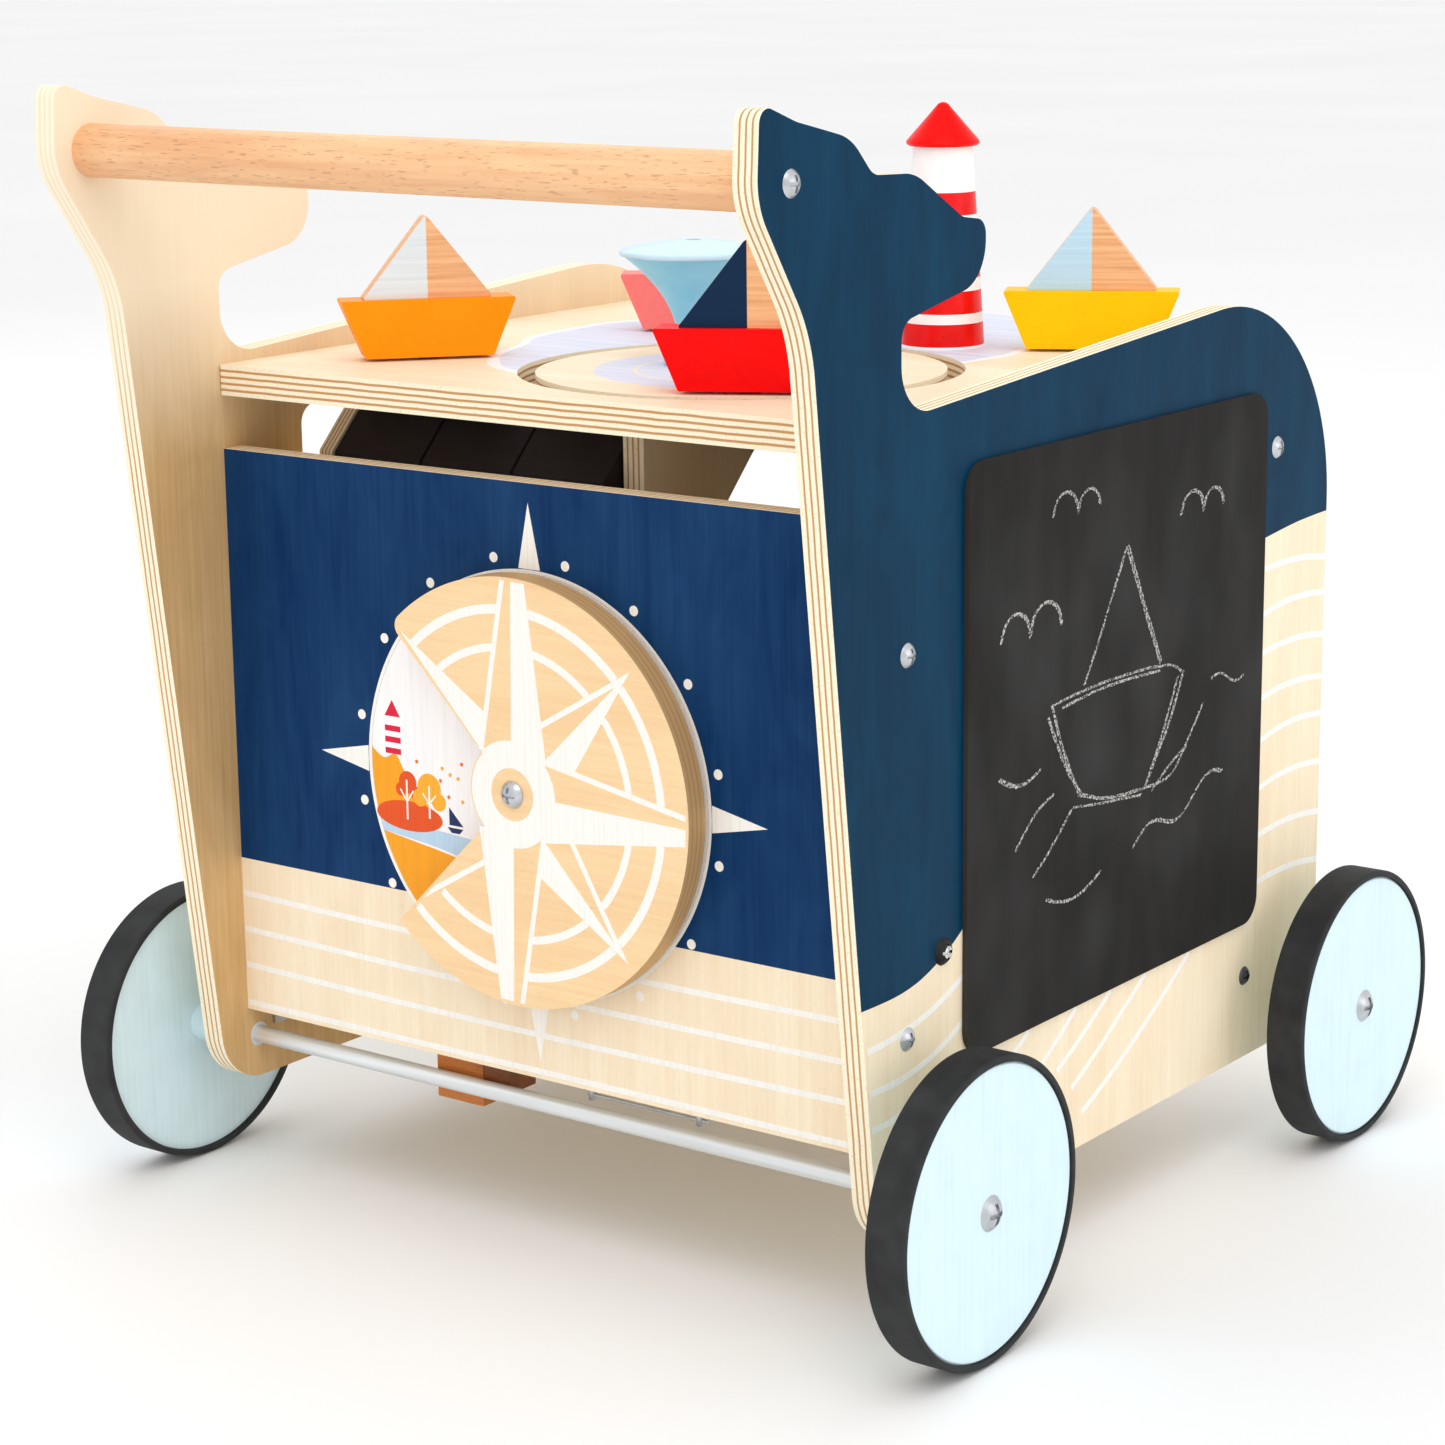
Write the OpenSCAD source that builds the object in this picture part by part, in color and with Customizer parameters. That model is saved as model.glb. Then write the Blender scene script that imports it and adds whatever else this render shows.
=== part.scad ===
// Push-along wooden activity walker: two bear-shaped side panels on four rubber-tyred wheels,
// a play table with boats and a turntable on top, and a turning compass disc on the back.
// Frame: X to the walker's right, Y forward, Z up, origin on the floor under the middle of its outline.
// A child stands behind it, on the -Y side, and holds the push bar.

/* [Body] */
// Distance between the outer faces of the side panels
body_w = 332; // [316:2:360]
// Thickness of the side panels' plywood
side_t = 10; // [9:0.5:12]
// Thickness of the back, front, bottom and inner boards
board_t = 10; // [8:0.5:12]
// Height of the boards' lower edge above the floor
body_z = 70; // [66:1:72]
// Height of the back and front panels' upper edge
back_top = 302.5; // [295:0.5:304]
// Rear face of the back panel
back_y = -152; // [-153:0.5:-151]
// Rear face of the front panel
front_y = 118; // [116:1:122]
// Lower edge of the side panels
side_bottom = 39.5; // [36:0.5:44]

/* [Table] */
// Height of the play table's upper face
table_z = 336; // [335:0.5:338]
// Thickness of the play table
table_t = 12; // [12:0.5:14]
// Rear edge of the play table
table_rear = -153; // [-153:0.5:-151]
// Front edge of the play table
table_front = 150; // [144:1:152]
// Radius of the round well for the turntable
well_r = 86.5; // [86:0.5:87]
// Radial gap between the turntable and its well
well_gap = 7; // [5:0.5:8]
// Thickness of the turntable
turntable_t = 10; // [8:0.5:10]

/* [Windows and chalkboard] */
// Half the length of the window in each side panel
window_half = 107; // [100:1:107]
// Lower edge of the window
window_bottom = 102.5; // [100:0.5:110]
// Upper edge of the window
window_top = 314.5; // [310:0.5:314.5]
// How far the chalkboard overlaps the window all round
chalk_lap = 4; // [3:0.5:4]
// Thickness of the chalkboard
chalk_t = 2; // [2:0.5:4]

/* [Wheels] */
// Outer radius of the tyres
tyre_r = 57.5; // [55:0.5:58]
// Thickness of the rubber tread
tread_t = 2.7; // [2:0.1:4]
// Width of the tyres
tyre_w = 16.5; // [14:0.5:18]
// Outer side face of the tyres, from the centre line
tyre_face = 202; // [200:0.5:210]
// Distance from the centre to each axle
axle_y = 146; // [140:1:150]
// Diameter of the axles
axle_d = 7; // [6:0.5:8]
// Diameter of the dome on each wheel's hub screw
hub_head_d = 13.5; // [11:0.5:16]

/* [Push bar] */
// Diameter of the beech push bar
bar_d = 20; // [18:0.5:24]
// Height of the push bar's axis
bar_z = 423.5; // [421:0.5:425]
// Distance of the push bar's axis behind the centre
bar_y = -215; // [-216:0.5:-213]

/* [Compass] */
// Radius of the compass disc
disc_r = 83; // [78:0.5:86]
// Height of the compass axis
disc_z = 186; // [180:0.5:190]
// Thickness of the compass disc
disc_t = 10; // [8:0.5:10]
// Gap between the compass disc and the back panel
disc_gap = 3; // [2:0.5:3]
// Angle of the window cut out of the compass disc
wedge_angle = 90; // [60:5:100]
// Radius of the disc's middle left round the hub
hub_r = 20.5; // [16:0.5:24]

/* [Toys] */
// Half length of a boat's hull at its deck
deck_half = 35; // [30:0.5:35]
// Half length of a boat's hull at its keel
keel_half = 25.5; // [22:0.5:28]
// Height of a boat's hull
hull_h = 23; // [18:0.5:26]
// Thickness of a boat's hull
hull_t = 16; // [12:0.5:16]
// Height of a boat's sail above its deck
sail_h = 32; // [26:0.5:36]
// Half length of a boat's sail at its foot
sail_half = 26; // [20:0.5:28]
// Thickness of a boat's sail
sail_t = 10; // [8:0.5:12]
// Radius of the knob's cap
knob_r = 28.8; // [24:0.2:29]
// Height of the knob's top above the table
knob_h = 48.4; // [44:0.2:50]
// Radius of the lighthouse at its foot
tower_foot_r = 17; // [14:0.5:17]
// Radius of the lighthouse under its roof
tower_top_r = 12; // [10:0.2:12]
// Height of the lighthouse's wall
tower_h = 80; // [70:1:84]
// Height of the lighthouse's roof
roof_h = 17; // [12:0.5:20]

/* [Picture blocks] */
// Width of a picture block across its flats
block_af = 72; // [60:1:72]
// Length of one picture block
block_l = 45.5; // [40:0.5:45.5]
// Diameter of the rod that the picture blocks turn on
rod_d = 8; // [6:0.5:10]

/* [Hidden] */
$fn = 96;

inner_x = body_w / 2 - side_t;
outer_x = body_w / 2;
table_bottom = table_z - table_t;
bottom_top = body_z + board_t;

// All pieces are laid out from the floor under the middle between the axles, this far ahead of the origin
axles_ahead = 15;

// Clearances: glued or screwed pieces, a running fit's radius, and toys above the table
glue_gap = 0.02;
run_gap = 0.07;
hover = 1.2;

// Side panel silhouette, clockwise from the heel: [Y, Z, corner radius]
neck_y = -204;
head_y = -234;
notch_y = -151;
front_edge = 168;
bear_corners = [
    [-165, side_bottom, 24],
    [neck_y, 373, 60],
    [head_y, 418, 28],
    [-232, 450, 5],
    [-212, 443, 30],
    [-194, 439, 22],
    [-181, 436, 24],
    [-168, 423, 9],
    [-143, 422, 26],
    [-113, 405, 10],
    [-98, 403, 6],
    [-98, 382, 17],
    [notch_y, 372, 8],
    [notch_y, 339, 17],
    [front_edge, 361, 88],
    [front_edge, side_bottom, 24]
];

// Fasteners along the panels' edges
screw_d = 4;
screw_head_d = 9;
screw_l = 32;
bolt_d = 6;
bolt_l = 38;
panel_screw_yz = [
    [back_y + board_t / 2, 256],
    [back_y + board_t / 2, 116],
    [front_y + board_t / 2, 294]
];
bottom_screw_yz = [[105, body_z + board_t / 2], [-120, body_z + board_t / 2]];
capped_screw_yz = [[-124, 143]];
batten = [18, 24];
batten_top = 285;

// Table dowels: places along Y, diameter and depth in each piece
table_dowel_y = [-130, 0, 120];
dowel_d = 6;
dowel_in_side = 6;
dowel_in_table = 20;

// Turntable and the toys on it, and the toys on the table
turn_x = 27;
turn_y = -54;
turntable_r = well_r - well_gap;
knob_x = 3;
knob_y = -52;
red_xy = [69, -106];
red_turn = 28;
orange_xy = [-99, -93];
orange_turn = 49;
yellow_xy = [112, 66];
yellow_turn = 28;
coral_xy = [-61, 40];
coral_turn = 35;
tower_xy = [53, 48];
peg_d = 8;
peg_foot_d = 14;
peg_well_d = 15;
peg_well_h = 6;
peg_in_hull = 6;
keel_z = table_z + hover;
deck_z = keel_z + hull_h;

// Axle, bushes and wheels
bush_d = 10;
bush_flange_d = 15;
bush_flange_t = 1;
wheel_disc_r = tyre_r - tread_t - 0.1;
disc_face = tyre_face - 1;
wheel_disc_t = tyre_w - 3;
hub_boss_r = 8;
axle_end = disc_face - 1.5;

// Compass
disc_front_y = back_y - disc_gap - disc_t;
compass_bolt_d = 6;

// Picture blocks
roller_y = -76;
roller_z = 283;
bracket_t = 7;
roller_x0 = -142;
divider_x = 6;
block_gap = 1;

module from_axles() {
    translate([0, axles_ahead, 0])
        children();
}

// Points of the arc that rounds the corner b between a and c
function unit(v) = v / norm(v);
function turn_between(from, to) =
    let (d = to - from)
    d > 180 ? d - 360 : d < -180 ? d + 360 : d;
function fillet_arc(a, b, c, r, n) =
    let (
        u = unit(a - b),
        w = unit(c - b),
        half = acos(u * w) / 2,
        centre = b + unit(u + w) * r / sin(half),
        p = b + u * r / tan(half) - centre,
        q = b + w * r / tan(half) - centre,
        start = atan2(p.y, p.x),
        sweep = turn_between(start, atan2(q.y, q.x))
    )
    [for (i = [0:n]) centre + r * [cos(start + sweep * i / n), sin(start + sweep * i / n)]];

// Closed outline from corners [x, y, radius], with more steps on the larger radii
function rounded(corners) =
    let (count = len(corners), p = [for (c = corners) [c.x, c.y]])
    [for (i = [0:count - 1])
        let (before = p[(i + count - 1) % count], after = p[(i + 1) % count], r = corners[i][2])
        each fillet_arc(before, p[i], after, r, ceil(3 * sqrt(r)))];

function rectangle(x0, y0, x1, y1, r) = [[x0, y0, r], [x1, y0, r], [x1, y1, r], [x0, y1, r]];

// Plates standing across X, standing across Y and lying flat, from a 2D outline
module plate_x(x0, t) {
    translate([x0, 0, 0])
        rotate([90, 0, 90])
            linear_extrude(t)
                children();
}

module plate_y(y0, t) {
    translate([0, y0 + t, 0])
        rotate([90, 0, 0])
            linear_extrude(t)
                children();
}

module plate_z(z0, t) {
    translate([0, 0, z0])
        linear_extrude(t)
            children();
}

// Round bars and bores along each axis
module rod_x(x0, x1, y, z, d) {
    translate([x0, y, z])
        rotate([0, 90, 0])
            cylinder(d = d, h = x1 - x0);
}

module rod_y(y0, y1, x, z, d) {
    translate([x, y1, z])
        rotate([90, 0, 0])
            cylinder(d = d, h = y1 - y0);
}

module rod_z(z0, z1, x, y, d) {
    translate([x, y, z0])
        cylinder(d = d, h = z1 - z0);
}

// One copy on each side of the centre plane
module both_sides() {
    children();
    mirror([1, 0, 0])
        children();
}

// Turns a solid of revolution from the Z axis onto the X axis
module onto_x(x0, y, z) {
    translate([x0, y, z])
        rotate([0, 90, 0])
            children();
}

// Round-headed screw pointing down from z = 0, with its dome above and a cross recess
module dome_screw(head_d, head_h, shank_d, shank_l) {
    cap_r = (head_d * head_d / 4 + head_h * head_h) / (2 * head_h);
    slot = [head_d * 0.6, head_d * 0.14, head_h];
    difference() {
        union() {
            intersection() {
                translate([0, 0, head_h - cap_r])
                    sphere(r = cap_r);
                cylinder(d = head_d, h = head_h + 1);
            }
            translate([0, 0, -shank_l])
                cylinder(d = shank_d, h = shank_l + 0.2);
        }
        for (a = [0, 90])
            rotate([0, 0, a])
                translate([-slot.x / 2, -slot.y / 2, head_h * 0.45])
                    cube(slot);
    }
}

// ---- Frame ----

module side_bores() {
    for (p = panel_screw_yz)
        rod_x(inner_x - 1, outer_x + 1, p.x, p.y, screw_d + 0.2);
    for (p = bottom_screw_yz)
        rod_x(inner_x - 1, outer_x + 1, p.x, p.y, screw_d + 0.2);
    for (p = capped_screw_yz)
        rod_x(inner_x - 1, outer_x + 1, p.x, p.y, screw_d + 0.2);
    rod_x(inner_x - 1, outer_x + 1, bar_y, bar_z, bolt_d + 0.2);
    for (y = [-axle_y, axle_y])
        rod_x(inner_x - 1, outer_x + 1, y, tyre_r, bush_d + 2 * glue_gap);
    for (y = table_dowel_y)
        rod_x(inner_x - 1, inner_x + dowel_in_side, y, table_z - table_t / 2, dowel_d + 2 * glue_gap);
}

module side_panel() {
    difference() {
        plate_x(inner_x, side_t)
            polygon(rounded(bear_corners));
        plate_x(inner_x - 1, side_t + 2)
            polygon(rounded(rectangle(-window_half, window_bottom, window_half, window_top, 8)));
        side_bores();
    }
}

module side_panel_right() {
    color("darkslateblue") from_axles()
        side_panel();
}

module side_panel_left() {
    color("burlywood") from_axles()
        mirror([1, 0, 0])
            side_panel();
}

// Hole for a swivelling boat's peg, with a well from below for the peg's foot
module peg_hole(xy) {
    rod_z(table_bottom - 1, table_z + 1, xy.x, xy.y, peg_d + 2 * run_gap);
    rod_z(table_bottom - 1, table_bottom + peg_well_h, xy.x, xy.y, peg_well_d);
}

module play_table() {
    color("wheat") from_axles()
        difference() {
            plate_z(table_bottom, table_t)
                polygon(rounded(rectangle(-inner_x, table_rear, inner_x, table_front, 1.5)));
            rod_z(table_bottom - 1, table_z + 1, turn_x, turn_y, 2 * well_r);
            peg_hole(orange_xy);
            peg_hole(yellow_xy);
            peg_hole(coral_xy);
            rod_z(table_z - 9, table_z + 1, tower_xy.x, tower_xy.y, peg_d + 2 * glue_gap);
            both_sides()
                for (y = table_dowel_y)
                    rod_x(inner_x - dowel_in_table, inner_x + 1, y, table_z - table_t / 2,
                        dowel_d + 2 * glue_gap);
        }
}

module back_panel() {
    color("navy") from_axles()
        difference() {
            plate_y(back_y, board_t)
                translate([-inner_x, body_z])
                    square([2 * inner_x, back_top - body_z]);
            rod_y(back_y - 1, back_y + board_t + 1, 0, disc_z, compass_bolt_d + 2 * glue_gap);
            both_sides()
                for (i = [0, 1])
                    rod_x(outer_x - screw_l, inner_x + 1, panel_screw_yz[i].x, panel_screw_yz[i].y,
                        screw_d + 2 * glue_gap);
        }
}

// The front panel has a round porthole on the left
porthole_xz = [-85, 240];
porthole_r = 44;

module front_panel() {
    color("navajowhite") from_axles()
        difference() {
            plate_y(front_y, board_t)
                translate([-inner_x, body_z])
                    square([2 * inner_x, back_top - body_z]);
            rod_y(front_y - 1, front_y + board_t + 1, porthole_xz.x, porthole_xz.y, 2 * porthole_r);
            both_sides()
                rod_x(outer_x - screw_l, inner_x + 1, panel_screw_yz[2].x, panel_screw_yz[2].y,
                    screw_d + 2 * glue_gap);
        }
}

module bottom_board() {
    color("burlywood") from_axles()
        difference() {
            translate([-inner_x, back_y + board_t, body_z])
                cube([2 * inner_x, front_y - back_y - board_t, board_t]);
            both_sides()
                for (p = bottom_screw_yz)
                    rod_x(outer_x - screw_l, inner_x + 1, p.x, p.y, screw_d + 2 * glue_gap);
        }
}

// Inner wall that carries the table and the picture blocks' rod, with a clipped-corner opening
divider_open = [
    [-75, 150, 6], [-45, 120, 6], [65, 120, 6], [95, 150, 6],
    [95, 271, 6], [65, 301, 6], [-30, 301, 6], [-75, 256, 6]
];

module divider() {
    color("tan") from_axles()
        difference() {
            plate_x(divider_x, board_t)
                difference() {
                    translate([-102, bottom_top])
                        square([front_y + 102, table_bottom - bottom_top]);
                    polygon(rounded(divider_open));
                }
            rod_x(divider_x - 1, divider_x + board_t + 1, roller_y, roller_z, rod_d + 2 * glue_gap);
        }
}

module rear_battens() {
    color("peru") from_axles()
        both_sides()
            difference() {
                translate([inner_x - batten.x, back_y + board_t, bottom_top])
                    cube([batten.x, batten.y, batten_top - bottom_top]);
                for (p = capped_screw_yz)
                    rod_x(inner_x - 12, inner_x + 1, p.x, p.y, screw_d + 2 * glue_gap);
            }
}

module table_dowels() {
    color("tan") from_axles()
        both_sides()
            for (y = table_dowel_y)
                rod_x(inner_x - dowel_in_table + 1, inner_x + dowel_in_side - 0.5, y,
                    table_z - table_t / 2, dowel_d);
}

module chalkboard() {
    color("dimgray") from_axles()
        plate_x(outer_x, chalk_t)
            polygon(rounded(rectangle(-window_half - chalk_lap, window_bottom - chalk_lap,
                window_half + chalk_lap, window_top + chalk_lap, 11)));
}

module push_bar() {
    color("burlywood") from_axles()
        difference() {
            rod_x(-inner_x, inner_x, bar_y, bar_z, bar_d);
            both_sides()
                rod_x(outer_x - bolt_l - 1, inner_x + 1, bar_y, bar_z, bolt_d + 2 * glue_gap);
        }
}

module push_bar_bolts() {
    color("silver") from_axles()
        both_sides()
            onto_x(outer_x, bar_y, bar_z)
                dome_screw(9.6, 2.5, bolt_d, bolt_l);
}

module panel_screws() {
    color("silver") from_axles()
        both_sides()
            for (p = panel_screw_yz)
                onto_x(outer_x, p.x, p.y)
                    dome_screw(screw_head_d, 2.3, screw_d, screw_l - 1);
}

module bottom_screws() {
    color("dimgray") from_axles()
        both_sides()
            for (p = bottom_screw_yz)
                onto_x(outer_x, p.x, p.y)
                    dome_screw(8, 2.2, screw_d, screw_l - 1);
}

module capped_screws() {
    color("black") from_axles()
        both_sides()
            for (p = capped_screw_yz)
                onto_x(outer_x, p.x, p.y)
                    dome_screw(10.5, 3, screw_d, 20);
}

// ---- Running gear ----

module axle_bushes() {
    color("black") from_axles()
        both_sides()
            for (y = [-axle_y, axle_y])
                difference() {
                    union() {
                        rod_x(inner_x, outer_x, y, tyre_r, bush_d);
                        rod_x(outer_x, outer_x + bush_flange_t, y, tyre_r, bush_flange_d);
                    }
                    rod_x(inner_x - 5, outer_x + 5, y, tyre_r, axle_d + 2 * run_gap);
                }
}

module axle(y) {
    color("silver") from_axles()
        difference() {
            rod_x(-axle_end, axle_end, y, tyre_r, axle_d);
            both_sides()
                rod_x(axle_end - 16, axle_end + 1, y, tyre_r, screw_d + 2 * glue_gap);
        }
}

module rear_axle() axle(-axle_y);
module front_axle() axle(axle_y);

// Wheel disc seen along its axle: r and height above the hub boss's inner end
boss_inner = outer_x + bush_flange_t + 0.5;
module wheel_disc(side, y) {
    face_x = disc_face - boss_inner;
    back_x = face_x - wheel_disc_t;
    bore_r = axle_d / 2 + glue_gap;
    color("lightcyan") from_axles()
        mirror([side < 0 ? 1 : 0, 0, 0])
            onto_x(boss_inner, y, tyre_r)
                rotate_extrude()
                    polygon([
                        [bore_r, 0], [hub_boss_r, 0], [hub_boss_r, back_x],
                        [wheel_disc_r, back_x], [wheel_disc_r, face_x - 0.8],
                        [wheel_disc_r - 0.8, face_x], [bore_r, face_x]
                    ]);
}

module wheel_disc_rear_right() wheel_disc(1, -axle_y);
module wheel_disc_rear_left() wheel_disc(-1, -axle_y);
module wheel_disc_front_right() wheel_disc(1, axle_y);
module wheel_disc_front_left() wheel_disc(-1, axle_y);

module tyre(side, y) {
    edge_r = 1.3;
    profile = rounded([
        [wheel_disc_r + 0.1, 0, 0.3], [tyre_r, 0, edge_r],
        [tyre_r, tyre_w, edge_r], [wheel_disc_r + 0.1, tyre_w, 0.3]
    ]);
    color("black") from_axles()
        mirror([side < 0 ? 1 : 0, 0, 0])
            onto_x(tyre_face - tyre_w, y, tyre_r)
                rotate_extrude()
                    polygon(profile);
}

module tyre_rear_right() tyre(1, -axle_y);
module tyre_rear_left() tyre(-1, -axle_y);
module tyre_front_right() tyre(1, axle_y);
module tyre_front_left() tyre(-1, axle_y);

module hub_screws(y) {
    color("silver") from_axles()
        both_sides()
            onto_x(disc_face, y, tyre_r)
                dome_screw(hub_head_d, 3.4, screw_d, 15);
}

module hub_screws_rear() hub_screws(-axle_y);
module hub_screws_front() hub_screws(axle_y);

// Brake on the rear axle: a shoe just ahead of the axle and its darker backing, under the bottom board
shoe_y = -axle_y + axle_d / 2 + 0.3;

module brake_shoe() {
    color("sandybrown") from_axles()
        translate([-62, shoe_y, 48])
            cube([24, 16, body_z - 48]);
}

module brake_backing() {
    color("saddlebrown") from_axles()
        translate([-38, shoe_y, 56])
            cube([14, 16, body_z - 56]);
}

// Spring wire on two screw eyes under the bottom board
module brake_spring() {
    wire_z = 62.5;
    wire_y = -138;
    color("silver") from_axles() {
        rod_x(12, 70, wire_y, wire_z, 1.6);
        for (x = [14, 66])
            rod_z(wire_z - 2, body_z, x, wire_y, 3.2);
    }
}

module corner_brackets() {
    leaf = [24, 14, 1.5];
    color("silver") from_axles()
        both_sides() {
            translate([inner_x - leaf.x, -138, body_z - leaf.z])
                cube(leaf);
            translate([inner_x - leaf.z, -138, body_z - 10])
                cube([leaf.z, leaf.y, 10]);
            rod_z(body_z - leaf.z - 2.2, body_z - leaf.z, inner_x - 16, -131, 7);
        }
}

// ---- Compass ----

// Pie slice cut out of the disc, stopping at the round hub
module wedge_2d() {
    far = disc_r * 1.6;
    a = wedge_angle / 2;
    difference() {
        polygon([[0, 0], far * [-cos(a), sin(a)], [-far, 0], far * [-cos(a), -sin(a)]]);
        circle(r = hub_r);
    }
}

// Waste outside the rounded corner where the window's upper edge meets the rim
module rim_corner_2d() {
    r = 5;
    edge = 180 - wedge_angle / 2;
    inward = asin(r / (disc_r - r));
    along = sqrt(pow(disc_r - r, 2) - r * r);
    centre = (disc_r - r) * [cos(edge - inward), sin(edge - inward)];
    difference() {
        polygon([
            centre,
            along * [cos(edge), sin(edge)],
            (disc_r + 2) * [cos(edge + 3), sin(edge + 3)],
            (disc_r + 2) * [cos(edge - inward), sin(edge - inward)]
        ]);
        translate(centre)
            circle(r = r);
    }
}

module compass_disc() {
    color("midnightblue") from_axles()
        plate_y(disc_front_y, disc_t)
            translate([0, disc_z])
                difference() {
                    circle(r = disc_r);
                    wedge_2d();
                    rim_corner_2d();
                    circle(d = compass_bolt_d + 2 * run_gap);
                }
}

module compass_washer() {
    color("silver") from_axles()
        difference() {
            rod_y(back_y - disc_gap + 0.1, back_y, 0, disc_z, 18);
            rod_y(back_y - disc_gap - 1, back_y + 1, 0, disc_z, compass_bolt_d + 2 * glue_gap);
        }
}

module compass_bolt() {
    color("silver") from_axles()
        translate([0, disc_front_y - 0.3, disc_z])
            rotate([90, 0, 0])
                dome_screw(10.5, 3, compass_bolt_d, disc_t + disc_gap + board_t + 3);
}

// ---- Turntable and the knob on it ----

turntable_bottom = table_z - turntable_t;

module turntable() {
    color("lightsteelblue") from_axles()
        difference() {
            rod_z(turntable_bottom, table_z, turn_x, turn_y, 2 * turntable_r);
            rod_z(turntable_bottom - 1, table_z + 1, turn_x, turn_y, bolt_d + 2 * run_gap);
            rod_z(table_z - 4, table_z + 1, turn_x, turn_y, 15);
            rod_z(table_z - 7, table_z + 1, red_xy.x, red_xy.y, peg_d + 2 * glue_gap);
            rod_z(turntable_bottom + 2, table_z + 1, knob_x, knob_y, screw_d + 2 * glue_gap);
        }
}

// Board under the turntable, from the divider to the right side panel
bearer_w = 22;
module turntable_bearer() {
    color("tan") from_axles()
        difference() {
            translate([divider_x + board_t, turn_y - bearer_w / 2, table_bottom - board_t])
                cube([inner_x - divider_x - board_t, bearer_w, board_t]);
            rod_z(table_bottom - board_t - 1, table_bottom + 1, turn_x, turn_y, bolt_d + 2 * glue_gap);
        }
}

module turntable_washer() {
    color("silver") from_axles()
        difference() {
            rod_z(table_bottom, turntable_bottom - 0.1, turn_x, turn_y, 30);
            rod_z(table_bottom - 1, table_z, turn_x, turn_y, bolt_d + 2 * glue_gap);
        }
}

module turntable_bolt() {
    color("silver") from_axles()
        translate([turn_x, turn_y, table_z - 3.8])
            dome_screw(12, 3, bolt_d, 18);
}

// Trumpet-shaped knob: a foot, a slim waist that flares out to a thin rim, and a low domed top
knob_foot = table_z + 0.3;
knob_top = knob_h - 0.3;
waist_r = 6.5;
waist_h = 8;
rim_edge_r = 1.4;
rim_h = knob_top - 4.9;
dome_h = 3.5;
dish_r = 2.9;
function flare(t) = waist_r + (knob_r - 1.1 - waist_r) * pow(t, 2.1);
function dome(r) = knob_top - dome_h * pow(r / (knob_r - rim_edge_r), 2);

module knob() {
    bore = screw_d / 2 + run_gap;
    flare_end = rim_h - rim_edge_r / 2;
    flare_pts = [for (i = [0:14]) [flare(i / 14), waist_h + (flare_end - waist_h) * i / 14]];
    rim_pts = [for (i = [0:6])
        let (a = -25 + 17.5 * i)
        [knob_r - rim_edge_r + rim_edge_r * cos(a), rim_h + rim_edge_r * sin(a)]];
    dome_pts = [for (i = [1:6])
        let (r = knob_r - rim_edge_r - (knob_r - rim_edge_r - dish_r) * i / 6)
        [r, dome(r)]];
    color("skyblue") from_axles()
        translate([knob_x, knob_y, knob_foot])
            rotate_extrude()
                polygon(concat(
                    [[bore, 0], [12, 0], [12, 3], [waist_r, 6]],
                    flare_pts,
                    rim_pts,
                    dome_pts,
                    [[dish_r - 0.1, knob_top - 1.8], [bore, knob_top - 1.8]]
                ));
}

module knob_screw() {
    color("silver") from_axles()
        translate([knob_x, knob_y, table_z + knob_h - 1.7])
            dome_screw(5.2, 1.2, screw_d, knob_h + 5);
}

// ---- Boats ----

// Places a boat whose length runs along X onto its spot on the table
module afloat(xy, turn) {
    translate([xy.x, xy.y, 0])
        rotate([0, 0, turn])
            children();
}

module hull_solid() {
    difference() {
        plate_y(-hull_t / 2, hull_t)
            polygon(rounded([
                [-keel_half, keel_z, 1], [keel_half, keel_z, 1],
                [deck_half, deck_z, 0.8], [-deck_half, deck_z, 0.8]
            ]));
        rod_z(keel_z - 1, keel_z + peg_in_hull, 0, 0, peg_d + 2 * glue_gap);
    }
}

module sail_solid() {
    plate_y(-sail_t / 2, sail_t)
        polygon(rounded([
            [-sail_half, deck_z, 0.5], [sail_half, deck_z, 0.5], [0, deck_z + sail_h + 1, 1.5]
        ]));
}

// Peg of a swivelling boat, with a foot that holds it in the table
module swivel_peg() {
    rod_z(table_bottom + 2, keel_z + peg_in_hull - 0.5, 0, 0, peg_d);
    rod_z(table_bottom + 2, table_bottom + peg_well_h - 0.3, 0, 0, peg_foot_d);
}

module red_hull() color("red") from_axles() afloat(red_xy, red_turn) hull_solid();
module red_sail() color("navy") from_axles() afloat(red_xy, red_turn) sail_solid();
module red_peg() {
    color("black") from_axles()
        rod_z(table_z - 6.5, keel_z + peg_in_hull - 0.5, red_xy.x, red_xy.y, peg_d);
}

module orange_hull() color("orange") from_axles() afloat(orange_xy, orange_turn) hull_solid();
module orange_sail() color("lightblue") from_axles() afloat(orange_xy, orange_turn) sail_solid();
module orange_peg() color("black") from_axles() afloat(orange_xy, 0) swivel_peg();

module yellow_hull() color("gold") from_axles() afloat(yellow_xy, yellow_turn) hull_solid();
module yellow_sail() color("lightblue") from_axles() afloat(yellow_xy, yellow_turn) sail_solid();
module yellow_peg() color("black") from_axles() afloat(yellow_xy, 0) swivel_peg();

module coral_hull() color("lightcoral") from_axles() afloat(coral_xy, coral_turn) hull_solid();
module coral_peg() color("black") from_axles() afloat(coral_xy, 0) swivel_peg();

// ---- Lighthouse ----

module lighthouse_tower() {
    color("white") from_axles()
        translate([tower_xy.x, tower_xy.y, table_z])
            difference() {
                rotate_extrude()
                    polygon([[0, 0], [tower_foot_r, 0], [tower_top_r, tower_h], [0, tower_h]]);
                cylinder(d = peg_d + 2 * glue_gap, h = 26, center = true);
            }
}

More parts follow.
